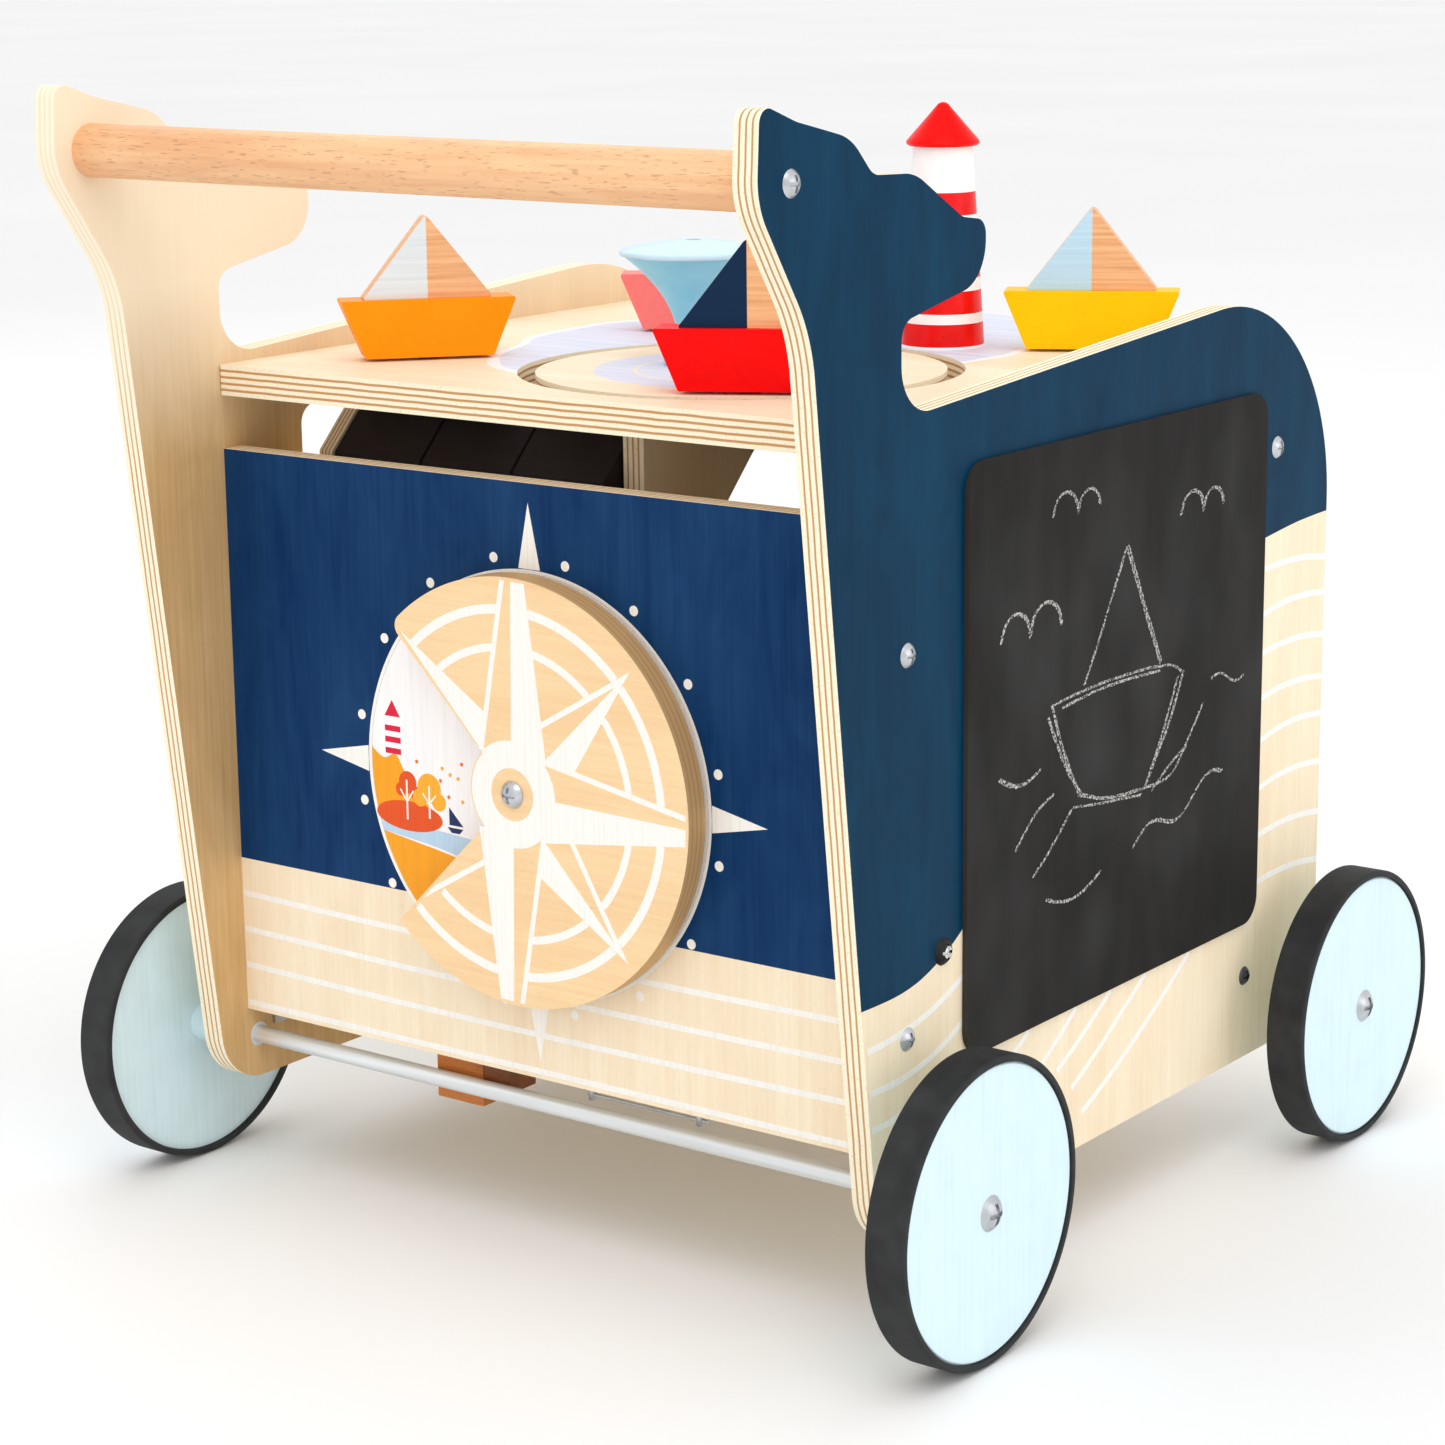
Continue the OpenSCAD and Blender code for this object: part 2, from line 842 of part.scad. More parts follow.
module lighthouse_roof() {
    eave_r = tower_top_r + 2.8;
    tip_r = 3.2;
    color("red") from_axles()
        translate([tower_xy.x, tower_xy.y, table_z + tower_h])
            rotate_extrude()
                polygon(concat(
                    [[0, 0], [eave_r - 1, 0], [eave_r, 1], [eave_r - 0.3, 2]],
                    [for (i = [0:4]) tip_r * [cos(30 + 15 * i), sin(30 + 15 * i)] + [0, roof_h - tip_r]]
                ));
}

module lighthouse_dowel() {
    color("tan") from_axles()
        rod_z(table_z - 8.5, table_z + 12.5, tower_xy.x, tower_xy.y, peg_d);
}

// ---- Picture blocks under the table ----

module octagon(af) {
    rotate(22.5)
        circle(r = af / 2 / cos(22.5), $fn = 8);
}

module roller_rod() {
    color("silver") from_axles()
        rod_x(roller_x0, divider_x + board_t, roller_y, roller_z, rod_d);
}

// Bracket under the table, as wide as a block, whose upper corners run on up to the table
module roller_bracket() {
    color("tan") from_axles()
        plate_x(roller_x0, bracket_t)
            difference() {
                union() {
                    translate([roller_y, roller_z])
                        octagon(block_af);
                    translate([roller_y - 9, roller_z])
                        square([18, table_bottom - roller_z]);
                }
                translate([roller_y, roller_z])
                    circle(d = rod_d + 2 * glue_gap);
            }
}

module picture_block(i) {
    color("dimgray") from_axles()
        plate_x(roller_x0 + bracket_t + block_gap + i * (block_l + block_gap), block_l)
            translate([roller_y, roller_z])
                difference() {
                    octagon(block_af);
                    circle(d = rod_d + 2 * run_gap);
                }
}

module picture_block_1() picture_block(0);
module picture_block_2() picture_block(1);
module picture_block_3() picture_block(2);

side_panel_right();
side_panel_left();
play_table();
back_panel();
front_panel();
bottom_board();
divider();
rear_battens();
table_dowels();
chalkboard();
push_bar();
push_bar_bolts();
panel_screws();
bottom_screws();
capped_screws();
axle_bushes();
rear_axle();
front_axle();
wheel_disc_rear_right();
wheel_disc_rear_left();
wheel_disc_front_right();
wheel_disc_front_left();
tyre_rear_right();
tyre_rear_left();
tyre_front_right();
tyre_front_left();
hub_screws_rear();
hub_screws_front();
brake_shoe();
brake_backing();
brake_spring();
corner_brackets();
compass_disc();
compass_washer();
compass_bolt();
turntable();
turntable_bearer();
turntable_washer();
turntable_bolt();
knob();
knob_screw();
red_hull();
red_sail();
red_peg();
orange_hull();
orange_sail();
orange_peg();
yellow_hull();
yellow_sail();
yellow_peg();
coral_hull();
coral_peg();
lighthouse_tower();
lighthouse_roof();
lighthouse_dowel();
roller_rod();
roller_bracket();
picture_block_1();
picture_block_2();
picture_block_3();
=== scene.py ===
"""Looks of the wooden activity walker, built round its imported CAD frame.

Metres, +X to the walker's right, +Y forward, +Z up, floor at z = 0. Prints are thin painted
layers on the boards, given in millimetres on their own face.
"""
import math
import random

import bmesh
import bpy
from mathutils import Matrix, Vector
from mathutils.geometry import tessellate_polygon


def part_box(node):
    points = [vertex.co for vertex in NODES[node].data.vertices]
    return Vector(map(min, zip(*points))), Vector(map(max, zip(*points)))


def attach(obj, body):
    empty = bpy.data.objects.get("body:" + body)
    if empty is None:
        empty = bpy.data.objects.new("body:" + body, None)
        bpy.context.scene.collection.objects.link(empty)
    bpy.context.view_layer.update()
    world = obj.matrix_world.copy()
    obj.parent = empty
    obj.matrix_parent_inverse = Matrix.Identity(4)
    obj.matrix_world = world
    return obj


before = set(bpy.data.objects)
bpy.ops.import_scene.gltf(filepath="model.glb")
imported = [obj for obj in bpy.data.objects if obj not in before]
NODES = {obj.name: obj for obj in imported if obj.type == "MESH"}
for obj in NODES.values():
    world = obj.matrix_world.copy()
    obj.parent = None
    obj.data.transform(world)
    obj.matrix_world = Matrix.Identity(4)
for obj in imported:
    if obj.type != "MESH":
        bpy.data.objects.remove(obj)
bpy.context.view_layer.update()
MM = 0.001
X, Y, Z = 0, 1, 2
# Middle between the axles, from which the side prints and the camera are placed
AHEAD = (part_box("rear_axle")[0][Y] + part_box("front_axle")[1][Y]) / 2
# How squarely a face looks along an axis when it counts as facing that way
FACING = 0.75


def middle(node):
    """Middle of a node's box, in metres."""
    return [(a + b) / 2 for a, b in zip(*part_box(node))]


def mm(corner):
    """A corner of a box in millimetres."""
    return Vector(corner) / MM


def rgb(r, g, b):
    """Linear colour of an sRGB one given in 0 to 255."""
    out = []
    for c in (r, g, b):
        c /= 255
        out.append(c / 12.92 if c <= 0.04045 else ((c + 0.055) / 1.055) ** 2.4)
    return (*out, 1.0)


def toned(colour, by, plus=0.0):
    """A darker or lighter version of a colour."""
    return tuple(min(c * by + plus, 1) for c in colour[:3]) + (1,)


# ---------------------------------------------------------------- node trees

class Look:
    """A material under construction: short calls that add and link shader nodes."""

    def __init__(self, name, rough, metal=0.0, specular=0.5):
        self.mat = bpy.data.materials.new(name)
        self.mat.use_nodes = True
        self.tree = self.mat.node_tree
        self.tree.nodes.clear()
        out = self.tree.nodes.new("ShaderNodeOutputMaterial")
        self.shader = self.tree.nodes.new("ShaderNodeBsdfPrincipled")
        self.tree.links.new(self.shader.outputs[0], out.inputs[0])
        self.shader.inputs["Roughness"].default_value = rough
        self.shader.inputs["Metallic"].default_value = metal
        self.shader.inputs["Specular IOR Level"].default_value = specular
        coord = self.tree.nodes.new("ShaderNodeTexCoord")
        self.where = coord.outputs["Object"]
        self.at = self.node("SeparateXYZ", self.where).outputs
        self.facing = self.node("SeparateXYZ", coord.outputs["Normal"]).outputs

    def put(self, socket, value):
        """Links another node's output to the socket, or sets a plain value."""
        if isinstance(value, bpy.types.NodeSocket):
            self.tree.links.new(value, socket)
        else:
            socket.default_value = value

    def node(self, kind, *values, **settings):
        n = self.tree.nodes.new("ShaderNode" + kind)
        for key, value in settings.items():
            setattr(n, key, value)
        for socket, value in zip(n.inputs, values):
            self.put(socket, value)
        return n

    def math(self, operation, *values):
        return self.node("Math", *values, operation=operation).outputs[0]

    def plus(self, a, b):
        return self.math("ADD", a, b)

    def minus(self, a, b):
        return self.math("SUBTRACT", a, b)

    def times(self, a, b):
        return self.math("MULTIPLY", a, b)

    def over(self, a, b):
        return self.math("DIVIDE", a, b)

    def both(self, a, b):
        """Where both masks are 1."""
        return self.times(a, b)

    def above(self, a, limit):
        return self.math("GREATER_THAN", a, limit)

    def below(self, a, limit):
        return self.math("LESS_THAN", a, limit)

    def distance(self, a, b):
        """Length of a step of a along one axis and b along another."""
        return self.math("SQRT", self.plus(self.times(a, a), self.times(b, b)))

    def remap(self, value, low, high, start=0.0, end=1.0):
        """Moves values between start and end to between low and high."""
        n = self.node("MapRange", value)
        n.inputs["From Min"].default_value = start
        n.inputs["From Max"].default_value = end
        n.inputs["To Min"].default_value = low
        n.inputs["To Max"].default_value = high
        return n.outputs[0]

    def noise(self, size_mm, detail=2.0, rough=0.5, warp=0.0):
        """Noise whose features are about size_mm along each axis."""
        if not isinstance(size_mm, (list, tuple)):
            size_mm = [size_mm] * 3
        m = self.node("Mapping", self.where)
        m.inputs["Scale"].default_value = [1 / (s * MM) for s in size_mm]
        n = self.node("TexNoise", m.outputs[0])
        n.inputs["Scale"].default_value = 1.0
        n.inputs["Detail"].default_value = detail
        n.inputs["Roughness"].default_value = rough
        n.inputs["Distortion"].default_value = warp
        return n.outputs[0]

    def mix(self, factor, a, b):
        """Colour a where the factor is 0, and b where it is 1."""
        n = self.tree.nodes.new("ShaderNodeMix")
        n.data_type = "RGBA"
        for socket, value in zip((n.inputs[0], n.inputs[6], n.inputs[7]), (factor, a, b)):
            self.put(socket, value)
        return n.outputs[2]

    def ramp(self, factor, stops, mode="LINEAR"):
        """Colour ramp through (place, colour) stops; a plain number stands for a grey."""
        n = self.node("ValToRGB", factor)
        n.color_ramp.interpolation = mode
        elements = n.color_ramp.elements
        while len(elements) < len(stops):
            elements.new(1.0)
        for element, (place, colour) in zip(elements, stops):
            element.position = place
            element.color = colour if isinstance(colour, tuple) else (colour, colour, colour, 1)
        return n.outputs[0]

    def bump(self, height, depth_mm, strength):
        n = self.tree.nodes.new("ShaderNodeBump")
        n.inputs["Strength"].default_value = strength
        n.inputs["Distance"].default_value = depth_mm * MM
        self.put(n.inputs["Height"], height)
        self.put(self.shader.inputs["Normal"], n.outputs[0])

    def colour(self, value):
        self.put(self.shader.inputs["Base Color"], value)

    def rough(self, factor, low, high):
        self.put(self.shader.inputs["Roughness"], self.remap(factor, low, high))


def along(axis, length, width):
    """Feature size in mm that is long on one axis."""
    size = [width] * 3
    size[axis] = length
    return size


def wood(t, grain, dark, light, streak_width=1.7, figure=0.55):
    """Streaks and slow clouds along the grain. Gives the colour, the streaks and the fibres."""
    streak = t.noise(along(grain, 70, streak_width), 3, 0.65)
    cloud = t.noise(along(grain, 90, 26), 3, 0.55, 0.8)
    tone = t.plus(t.times(streak, 1 - figure), t.times(cloud, figure))
    fibres = t.noise(along(grain, 14, 0.45), 2, 0.6)
    medium = tuple((a + b) / 2 for a, b in zip(dark, light))
    colour = t.ramp(tone, [(0.32, dark), (0.5, medium), (0.68, light)])
    pore = t.noise(along(grain, 3.2, 0.35), 1, 0.5)
    colour = t.mix(t.times(t.above(pore, 0.68), 0.16), colour, toned(dark, 0.6))
    return colour, streak, fibres


BIRCH_DARK, BIRCH_LIGHT = rgb(242, 220, 186), rgb(252, 238, 212)
# Darker gold veneer for the left panel: painted shade, standing for the shade on its inner face
SHADE_GOLD_DARK, SHADE_GOLD_LIGHT = rgb(196, 156, 102), rgb(226, 190, 138)
EDGE_CREAM, EDGE_BROWN = rgb(253, 243, 216), rgb(202, 152, 100)
WHITE_PAINT = rgb(250, 247, 240)
# Plywood edge, as shares of its thickness: half a brown layer, half with its soft border, and
# how much further apart the brown layers are than even
BROWN_HALF, BORDER_HALF, BROWN_SPREAD = 0.03, 0.05, 0.01


def layer_stops(lines, cream, brown):
    """Cream layers with thin brown ones between, over a thickness from 0 to 1."""
    stops = [(0.0, cream)]
    for i in range(lines):
        centre = (i + 1) / (lines + 1) + (i - (lines - 1) / 2) * BROWN_SPREAD
        stops += [(centre - BORDER_HALF, cream), (centre - BROWN_HALF, brown),
                  (centre + BROWN_HALF, brown), (centre + BORDER_HALF, cream)]
    return stops


def ply(name, node, thick, grain, paint=None, lines=3, dark=BIRCH_DARK, light=BIRCH_LIGHT,
        cream=EDGE_CREAM, brown=EDGE_BROWN, rough=0.45):
    """Plywood: veneer on the faces across the thick axis and layers on the edges."""
    t = Look(name, rough=rough, specular=0.07)
    low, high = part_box(node)
    face, streak, fibres = wood(t, grain, dark, light)
    share = t.over(t.minus(t.at[thick], low[thick]), high[thick] - low[thick])
    wobble = t.times(t.minus(t.noise(14), 0.5), 0.05)
    layers = t.ramp(t.plus(share, wobble), layer_stops(lines, cream, brown))
    speck = t.noise(1.2, 3, 0.7)
    layers = t.mix(t.times(t.above(speck, 0.6), 0.25), layers, brown)
    on_edge = t.below(t.math("ABSOLUTE", t.facing[thick]), FACING)
    colour = t.mix(on_edge, face, layers)
    if paint:
        colour = paint(t, colour, streak)
    t.colour(colour)
    t.rough(streak, rough - 0.06, rough + 0.1)
    t.bump(fibres, 0.06, 0.35)
    return t.mat


# ---------------------------------------------------------------- paints on boards
# Each paint takes the material, the bare board's colour and its streaks, and gives a new colour

PETROL = (rgb(0, 44, 70), rgb(2, 58, 86))
NAVY = (rgb(4, 46, 92), rgb(24, 64, 108))
# Lower edge of the petrol paint on the side panels: Y from between the axles and Z, in mm
SHORE = [(-180, 134), (-155, 133), (-133, 136), (-109, 148), (-80, 168), (-40, 200), (0, 225),
         (50, 247), (85, 255), (115, 258), (143, 261), (180, 262)]
# Height in mm that white stands for in the ramp which holds the shore line
SHORE_WHITE = 300
# Lower edge of the navy field on the back panel, in mm
NAVY_FROM = 134.5
# Left panel's inside, painted shade fading to painted light from above: heights in mm between which the
# gold fades, and how far it fades
FADE_FROM, FADE_TO, FADE = 300, 370, 0.8
# Printed sea on the table, in mm: how far its oval lies left and ahead of the axles' middle,
# half its width and half its length
SEA_LEFT, SEA_AHEAD, SEA_HALF_WIDTH, SEA_HALF_LENGTH = 8, 20, 98, 135
SEA_DARK, SEA_LIGHT, SURF = rgb(206, 214, 234), rgb(228, 230, 242), rgb(248, 245, 246)
# The surf's reach, where the sea's is 1
SURF_REACH = 1.04
# Print on the turntable, in mm: its radius, and a bare ring's radius and half width
POOL_RADIUS, BARE_RADIUS, BARE_HALF = 57, 41, 0.7
POOL_DARK, POOL_LIGHT = rgb(214, 212, 230), rgb(234, 230, 240)


def uneven_print(t, streak, dark, light):
    """Printed colour with soft patches and the veneer's streaks faintly in it."""
    patch = t.noise(along(Z, 70, 22), 3, 0.6, 0.8)
    tone = t.plus(t.times(streak, 0.35), t.times(patch, 0.65))
    return t.ramp(tone, [(0.36, dark), (0.64, light)])


def painted_shade_inside(t, colour):
    """Painted shade and light: the left panel's inside is a shaded darker gold, painted paler towards
    the bear's neck where light falls from above.
    """
    inside = t.remap(t.at[Z], 0.0, FADE, FADE_FROM * MM, FADE_TO * MM)
    outside = t.times(t.below(t.facing[X], -FACING), FADE)
    return t.mix(t.math("MAXIMUM", inside, outside), colour, BIRCH_LIGHT)


def side_paint(sign):
    """Petrol above the shore line on a panel's outer face; sign is 1 right and -1 left."""
    def paint(t, colour, streak):
        # The left panel's inside gets painted shade, fading to painted light towards the top
        if sign < 0:
            colour = painted_shade_inside(t, colour)
        start = SHORE[0][0]
        span = SHORE[-1][0] - start
        share = t.over(t.minus(t.at[Y], AHEAD + start * MM), span * MM)
        stops = [((y - start) / span, z / SHORE_WHITE) for y, z in SHORE]
        shore = t.node("SeparateColor", t.ramp(share, stops, "B_SPLINE")).outputs[0]
        shore = t.times(shore, SHORE_WHITE * MM)
        petrol = uneven_print(t, streak, *PETROL)
        outward = t.above(t.times(t.facing[X], sign), FACING)
        return t.mix(t.both(outward, t.above(t.at[Z], shore)), colour, petrol)
    return paint


def back_paint(t, colour, streak):
    navy = uneven_print(t, streak, *NAVY)
    painted = t.both(t.below(t.facing[Y], -FACING), t.above(t.at[Z], NAVY_FROM * MM))
    return t.mix(painted, colour, navy)


def sea_paint(t, colour, streak):
    """Pale printed sea in an oval with a wandering shore and a lighter surf line."""
    dx = t.over(t.plus(t.at[X], SEA_LEFT * MM), SEA_HALF_WIDTH * MM)
    dy = t.over(t.minus(t.at[Y], AHEAD + SEA_AHEAD * MM), SEA_HALF_LENGTH * MM)
    reach = t.distance(dx, dy)
    wander = t.times(t.minus(t.noise(60, 1), 0.5), 0.3)
    reach = t.plus(reach, wander)
    up = t.above(t.facing[Z], FACING)
    sea = t.ramp(streak, [(0.35, SEA_DARK), (0.65, SEA_LIGHT)])
    colour = t.mix(t.both(up, t.below(reach, SURF_REACH)), colour, SURF)
    return t.mix(t.both(up, t.below(reach, 1.0)), colour, sea)


def pool_paint(t, colour, streak):
    """Round print on the turntable: a wooden rim and one thin ring left bare."""
    centre = middle("turntable")
    r = t.distance(t.minus(t.at[X], centre[X]), t.minus(t.at[Y], centre[Y]))
    bare_ring = t.below(t.math("ABSOLUTE", t.minus(r, BARE_RADIUS * MM)), BARE_HALF * MM)
    on_top = t.both(t.above(t.facing[Z], FACING), t.below(r, POOL_RADIUS * MM))
    printed = t.both(on_top, t.minus(1.0, bare_ring))
    pool = t.ramp(streak, [(0.35, POOL_DARK), (0.65, POOL_LIGHT)])
    return t.mix(printed, colour, pool)


def chalk_dust(t, colour, streak):
    """Faint smears of dust all over the board."""
    smear = t.ramp(t.noise([60, 45, 70], 2, 0.5), [(0.4, 0.0), (0.75, 1.0)])
    return t.mix(t.times(smear, 0.07), colour, rgb(150, 150, 150))


# ---------------------------------------------------------------- other materials

# Knob: depth of its pale cap in mm
KNOB_CAP = 5.4
# Capped screws: radius in mm of the pale middle
CAP_MIDDLE = 2.3
# Lighthouse: lower and upper edge of each red band in mm above the table
RED_BANDS = ((1, 10), (14, 23), (28, 37), (53, 62))


def lacquer(name, colour, rough=0.38, grain=X):
    """Coloured lacquer on wood: the grain shows faintly."""
    t = Look(name, rough=rough, specular=0.1)
    streak = t.noise(along(grain, 60, 1.6), 3, 0.6)
    blotch = t.noise(14, 2, 0.5)
    tone = t.plus(t.times(streak, 0.6), t.times(blotch, 0.4))
    darker, lighter = toned(colour, 0.93), toned(colour, 1.04, 0.003)
    t.colour(t.ramp(tone, [(0.3, darker), (0.5, colour), (0.72, lighter)]))
    t.rough(blotch, rough - 0.06, rough + 0.12)
    t.bump(streak, 0.03, 0.2)
    return t.mat


def timber(name, dark, light, grain=X, flecks=True):
    """Solid wood, with or without short dark flecks along the grain."""
    t = Look(name, rough=0.42, specular=0.3)
    colour, streak, fibres = wood(t, grain, dark, light, 3.2, 0.5)
    if flecks:
        fleck = t.noise(along(grain, 5.5, 0.7), 1, 0.4)
        colour = t.mix(t.times(t.above(fleck, 0.66), 0.45), colour, toned(dark, 0.55))
    t.colour(colour)
    t.rough(streak, 0.37, 0.54)
    t.bump(fibres, 0.05, 0.35)
    return t.mat


def steel(name, shade, rough, metal=1.0, mottle_mm=6):
    """Drawn or plated steel, mottled a little darker."""
    t = Look(name, rough=rough, metal=metal)
    drawn = t.noise(along(X, 30, 0.5), 2, 0.6)
    cloud = t.noise(mottle_mm, 2, 0.5)
    t.colour(t.ramp(cloud, [(0.3, toned(shade, 0.8)), (0.7, shade)]))
    t.rough(drawn, rough - 0.08, rough + 0.14)
    t.bump(drawn, 0.02, 0.25)
    return t.mat


def moulded(name, colour, rough=0.5, grit_mm=0.6, depth_mm=0.04):
    """Rubber or plastic with a fine grit."""
    t = Look(name, rough=rough, specular=0.25)
    grit = t.noise(grit_mm, 3, 0.6)
    cloud = t.noise(12, 2, 0.5)
    t.colour(t.ramp(cloud, [(0.35, colour), (0.7, toned(colour, 1.5, 0.004))]))
    t.rough(cloud, rough - 0.08, rough + 0.1)
    t.bump(grit, depth_mm, 0.5)
    return t.mat


def knob_lacquer():
    """Turquoise body under a pale cap."""
    t = Look("knob_lacquer", rough=0.3, specular=0.25)
    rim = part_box("knob")[1][Z] - KNOB_CAP * MM
    cloud = t.noise(11, 2, 0.5)
    body = t.ramp(cloud, [(0.3, rgb(138, 212, 236)), (0.7, rgb(152, 222, 244))])
    cap = t.ramp(cloud, [(0.3, rgb(190, 220, 236)), (0.7, rgb(202, 230, 244))])
    t.colour(t.mix(t.above(t.at[Z], rim), body, cap))
    t.rough(cloud, 0.26, 0.36)
    t.bump(cloud, 0.02, 0.2)
    return t.mat


def ringed_cap():
    """Black screw cap with a pale middle."""
    t = Look("black_cap", rough=0.5, specular=0.25)
    centre = middle("capped_screws")
    r = t.distance(t.minus(t.at[Y], centre[Y]), t.minus(t.at[Z], centre[Z]))
    grit = t.noise(0.6, 3, 0.6)
    dark = t.ramp(grit, [(0.35, rgb(22, 22, 23)), (0.7, rgb(36, 36, 38))])
    t.colour(t.mix(t.below(r, CAP_MIDDLE * MM), dark, rgb(226, 226, 224)))
    t.rough(grit, 0.42, 0.6)
    t.bump(grit, 0.04, 0.4)
    return t.mat


def banded_tower():
    """White lacquer with red bands at set heights above the table."""
    t = Look("lighthouse_wall", rough=0.3, specular=0.25)
    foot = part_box("lighthouse_tower")[0][Z]
    height = t.minus(t.at[Z], foot)
    red = None
    for low, high in RED_BANDS:
        in_band = t.both(t.above(height, low * MM), t.below(height, high * MM))
        red = in_band if red is None else t.plus(red, in_band)
    cloud = t.noise(8, 2, 0.6)
    white_wall = t.ramp(cloud, [(0.3, rgb(246, 247, 250)), (0.7, rgb(253, 253, 253))])
    red_wall = t.ramp(cloud, [(0.3, rgb(226, 2, 8)), (0.7, rgb(244, 8, 10))])
    t.colour(t.mix(red, white_wall, red_wall))
    t.rough(cloud, 0.22, 0.36)
    t.bump(cloud, 0.03, 0.2)
    return t.mat


def two_tone_sail(name, node, turn, paint):
    """Sail with a painted half and a natural beech half either side of the mast line."""
    t = Look(name, rough=0.42, specular=0.16)
    centre = middle(node)
    a = math.radians(turn)
    level = t.node("Mapping", t.where)
    level.inputs["Rotation"].default_value[Z] = -a
    t.where = level.outputs[0]
    dx = t.times(t.minus(t.at[X], centre[X]), math.cos(a))
    dy = t.times(t.minus(t.at[Y], centre[Y]), math.sin(a))
    along_hull = t.plus(dx, dy)
    sideways = t.plus(t.times(t.facing[X], -math.sin(a)), t.times(t.facing[Y], math.cos(a)))
    across = t.math("ABSOLUTE", sideways)
    bare, streak, fibres = wood(t, X, rgb(216, 152, 102), rgb(248, 198, 150), 1.6, 0.2)
    coat = t.ramp(streak, [(0.3, toned(paint, 0.88)), (0.7, paint)])
    painted = t.both(t.below(along_hull, 0.0), t.above(across, 0.6))
    t.colour(t.mix(painted, bare, coat))
    t.rough(streak, 0.34, 0.5)
    t.bump(fibres, 0.05, 0.35)
    return t.mat


# ---------------------------------------------------------------- crisp CAD shading

# Edges sharper than these, in degrees, stay sharp and get bevelled
SHARP, BEVELLED = 30, 40


def crease_group():
    """Geometry nodes that shade smooth except across sharp edges."""
    g = bpy.data.node_groups.new("crease", "GeometryNodeTree")
    for way in ("INPUT", "OUTPUT"):
        g.interface.new_socket("Geometry", in_out=way, socket_type="NodeSocketGeometry")
    start = g.nodes.new("NodeGroupInput")
    end = g.nodes.new("NodeGroupOutput")
    angle = g.nodes.new("GeometryNodeInputMeshEdgeAngle")
    sharp = g.nodes.new("FunctionNodeCompare")
    faces = g.nodes.new("GeometryNodeSetShadeSmooth")
    edges = g.nodes.new("GeometryNodeSetShadeSmooth")
    sharp.data_type = "FLOAT"
    sharp.operation = "GREATER_THAN"
    sharp.inputs["B"].default_value = math.radians(SHARP)
    faces.domain = "FACE"
    edges.domain = "EDGE"
    edges.inputs["Shade Smooth"].default_value = False
    g.links.new(start.outputs[0], faces.inputs["Geometry"])
    g.links.new(faces.outputs[0], edges.inputs["Geometry"])
    g.links.new(angle.outputs["Unsigned Angle"], sharp.inputs["A"])
    g.links.new(sharp.outputs[0], edges.inputs["Selection"])
    g.links.new(edges.outputs[0], end.inputs[0])
    return g


CREASE = crease_group()


def finish_node(name, material, bevel_mm=0.0, segments=2):
    """Gives a CAD node its material and eased edges."""
    o = NODES[name]
    o.data.materials.clear()
    o.data.materials.append(material)
    o.data.polygons.foreach_set("material_index", [0] * len(o.data.polygons))
    for attribute in ("custom_normal", "sharp_edge", "sharp_face"):
        if attribute in o.data.attributes:
            o.data.attributes.remove(o.data.attributes[attribute])
    weld = o.modifiers.new("weld", "WELD")
    weld.merge_threshold = 1e-6
    if bevel_mm:
        b = o.modifiers.new("bevel", "BEVEL")
        b.width = bevel_mm * MM
        b.segments = segments
        b.limit_method = "ANGLE"
        b.angle_limit = math.radians(BEVELLED)
        b.use_clamp_overlap = True
    crease = o.modifiers.new("crease", "NODES")
    crease.node_group = CREASE
    even = o.modifiers.new("even", "WEIGHTED_NORMAL")
    even.keep_sharp = True
    even.weight = 100


# ---------------------------------------------------------------- the walker's nodes

bar_wood = timber("beech_bar", rgb(226, 164, 116), rgb(250, 204, 156))
batten_wood = timber("beech_batten", rgb(206, 160, 108), rgb(240, 200, 150), Z)
zinc = steel("zinc_steel", rgb(205, 208, 212), 0.3)
rod_zinc = steel("zinc_axle", rgb(236, 240, 241), 0.3, metal=0.5, mottle_mm=along(X, 120, 3))
dark_steel = steel("blackened_steel", rgb(92, 92, 96), 0.4)
nylon = moulded("white_nylon", rgb(196, 200, 202))
tread = moulded("tyre_rubber", rgb(40, 41, 42), 0.72, 0.9, 0.06)
disc_paint = lacquer("wheel_lacquer", rgb(218, 240, 247), 0.34, Z)
peg_wood = timber("peg_wood", rgb(44, 30, 22), rgb(70, 50, 38), Z, flecks=False)
block_paint = lacquer("block_lacquer", rgb(48, 42, 44), 0.5)

finish_node("side_panel_right", ply("side_ply_right", "side_panel_right", X, Z, side_paint(1)), 0.7)
# Left panel: its darker gold veneer is painted shade on the inner face
finish_node("side_panel_left", ply("side_ply_left", "side_panel_left", X, Z, side_paint(-1),
                                   dark=SHADE_GOLD_DARK, light=SHADE_GOLD_LIGHT), 0.7)
finish_node("play_table", ply("table_ply", "play_table", Z, X, sea_paint, lines=4), 0.8)
finish_node("back_panel", ply("back_ply", "back_panel", Y, Z, back_paint), 0.5)
finish_node("front_panel", ply("front_ply", "front_panel", Y, Z), 0.5)
finish_node("bottom_board", ply("bottom_ply", "bottom_board", Z, X), 0.3)
finish_node("divider", ply("divider_ply", "divider", X, Z), 0.4)
finish_node("roller_bracket", ply("bracket_ply", "roller_bracket", X, Z), 0.4)
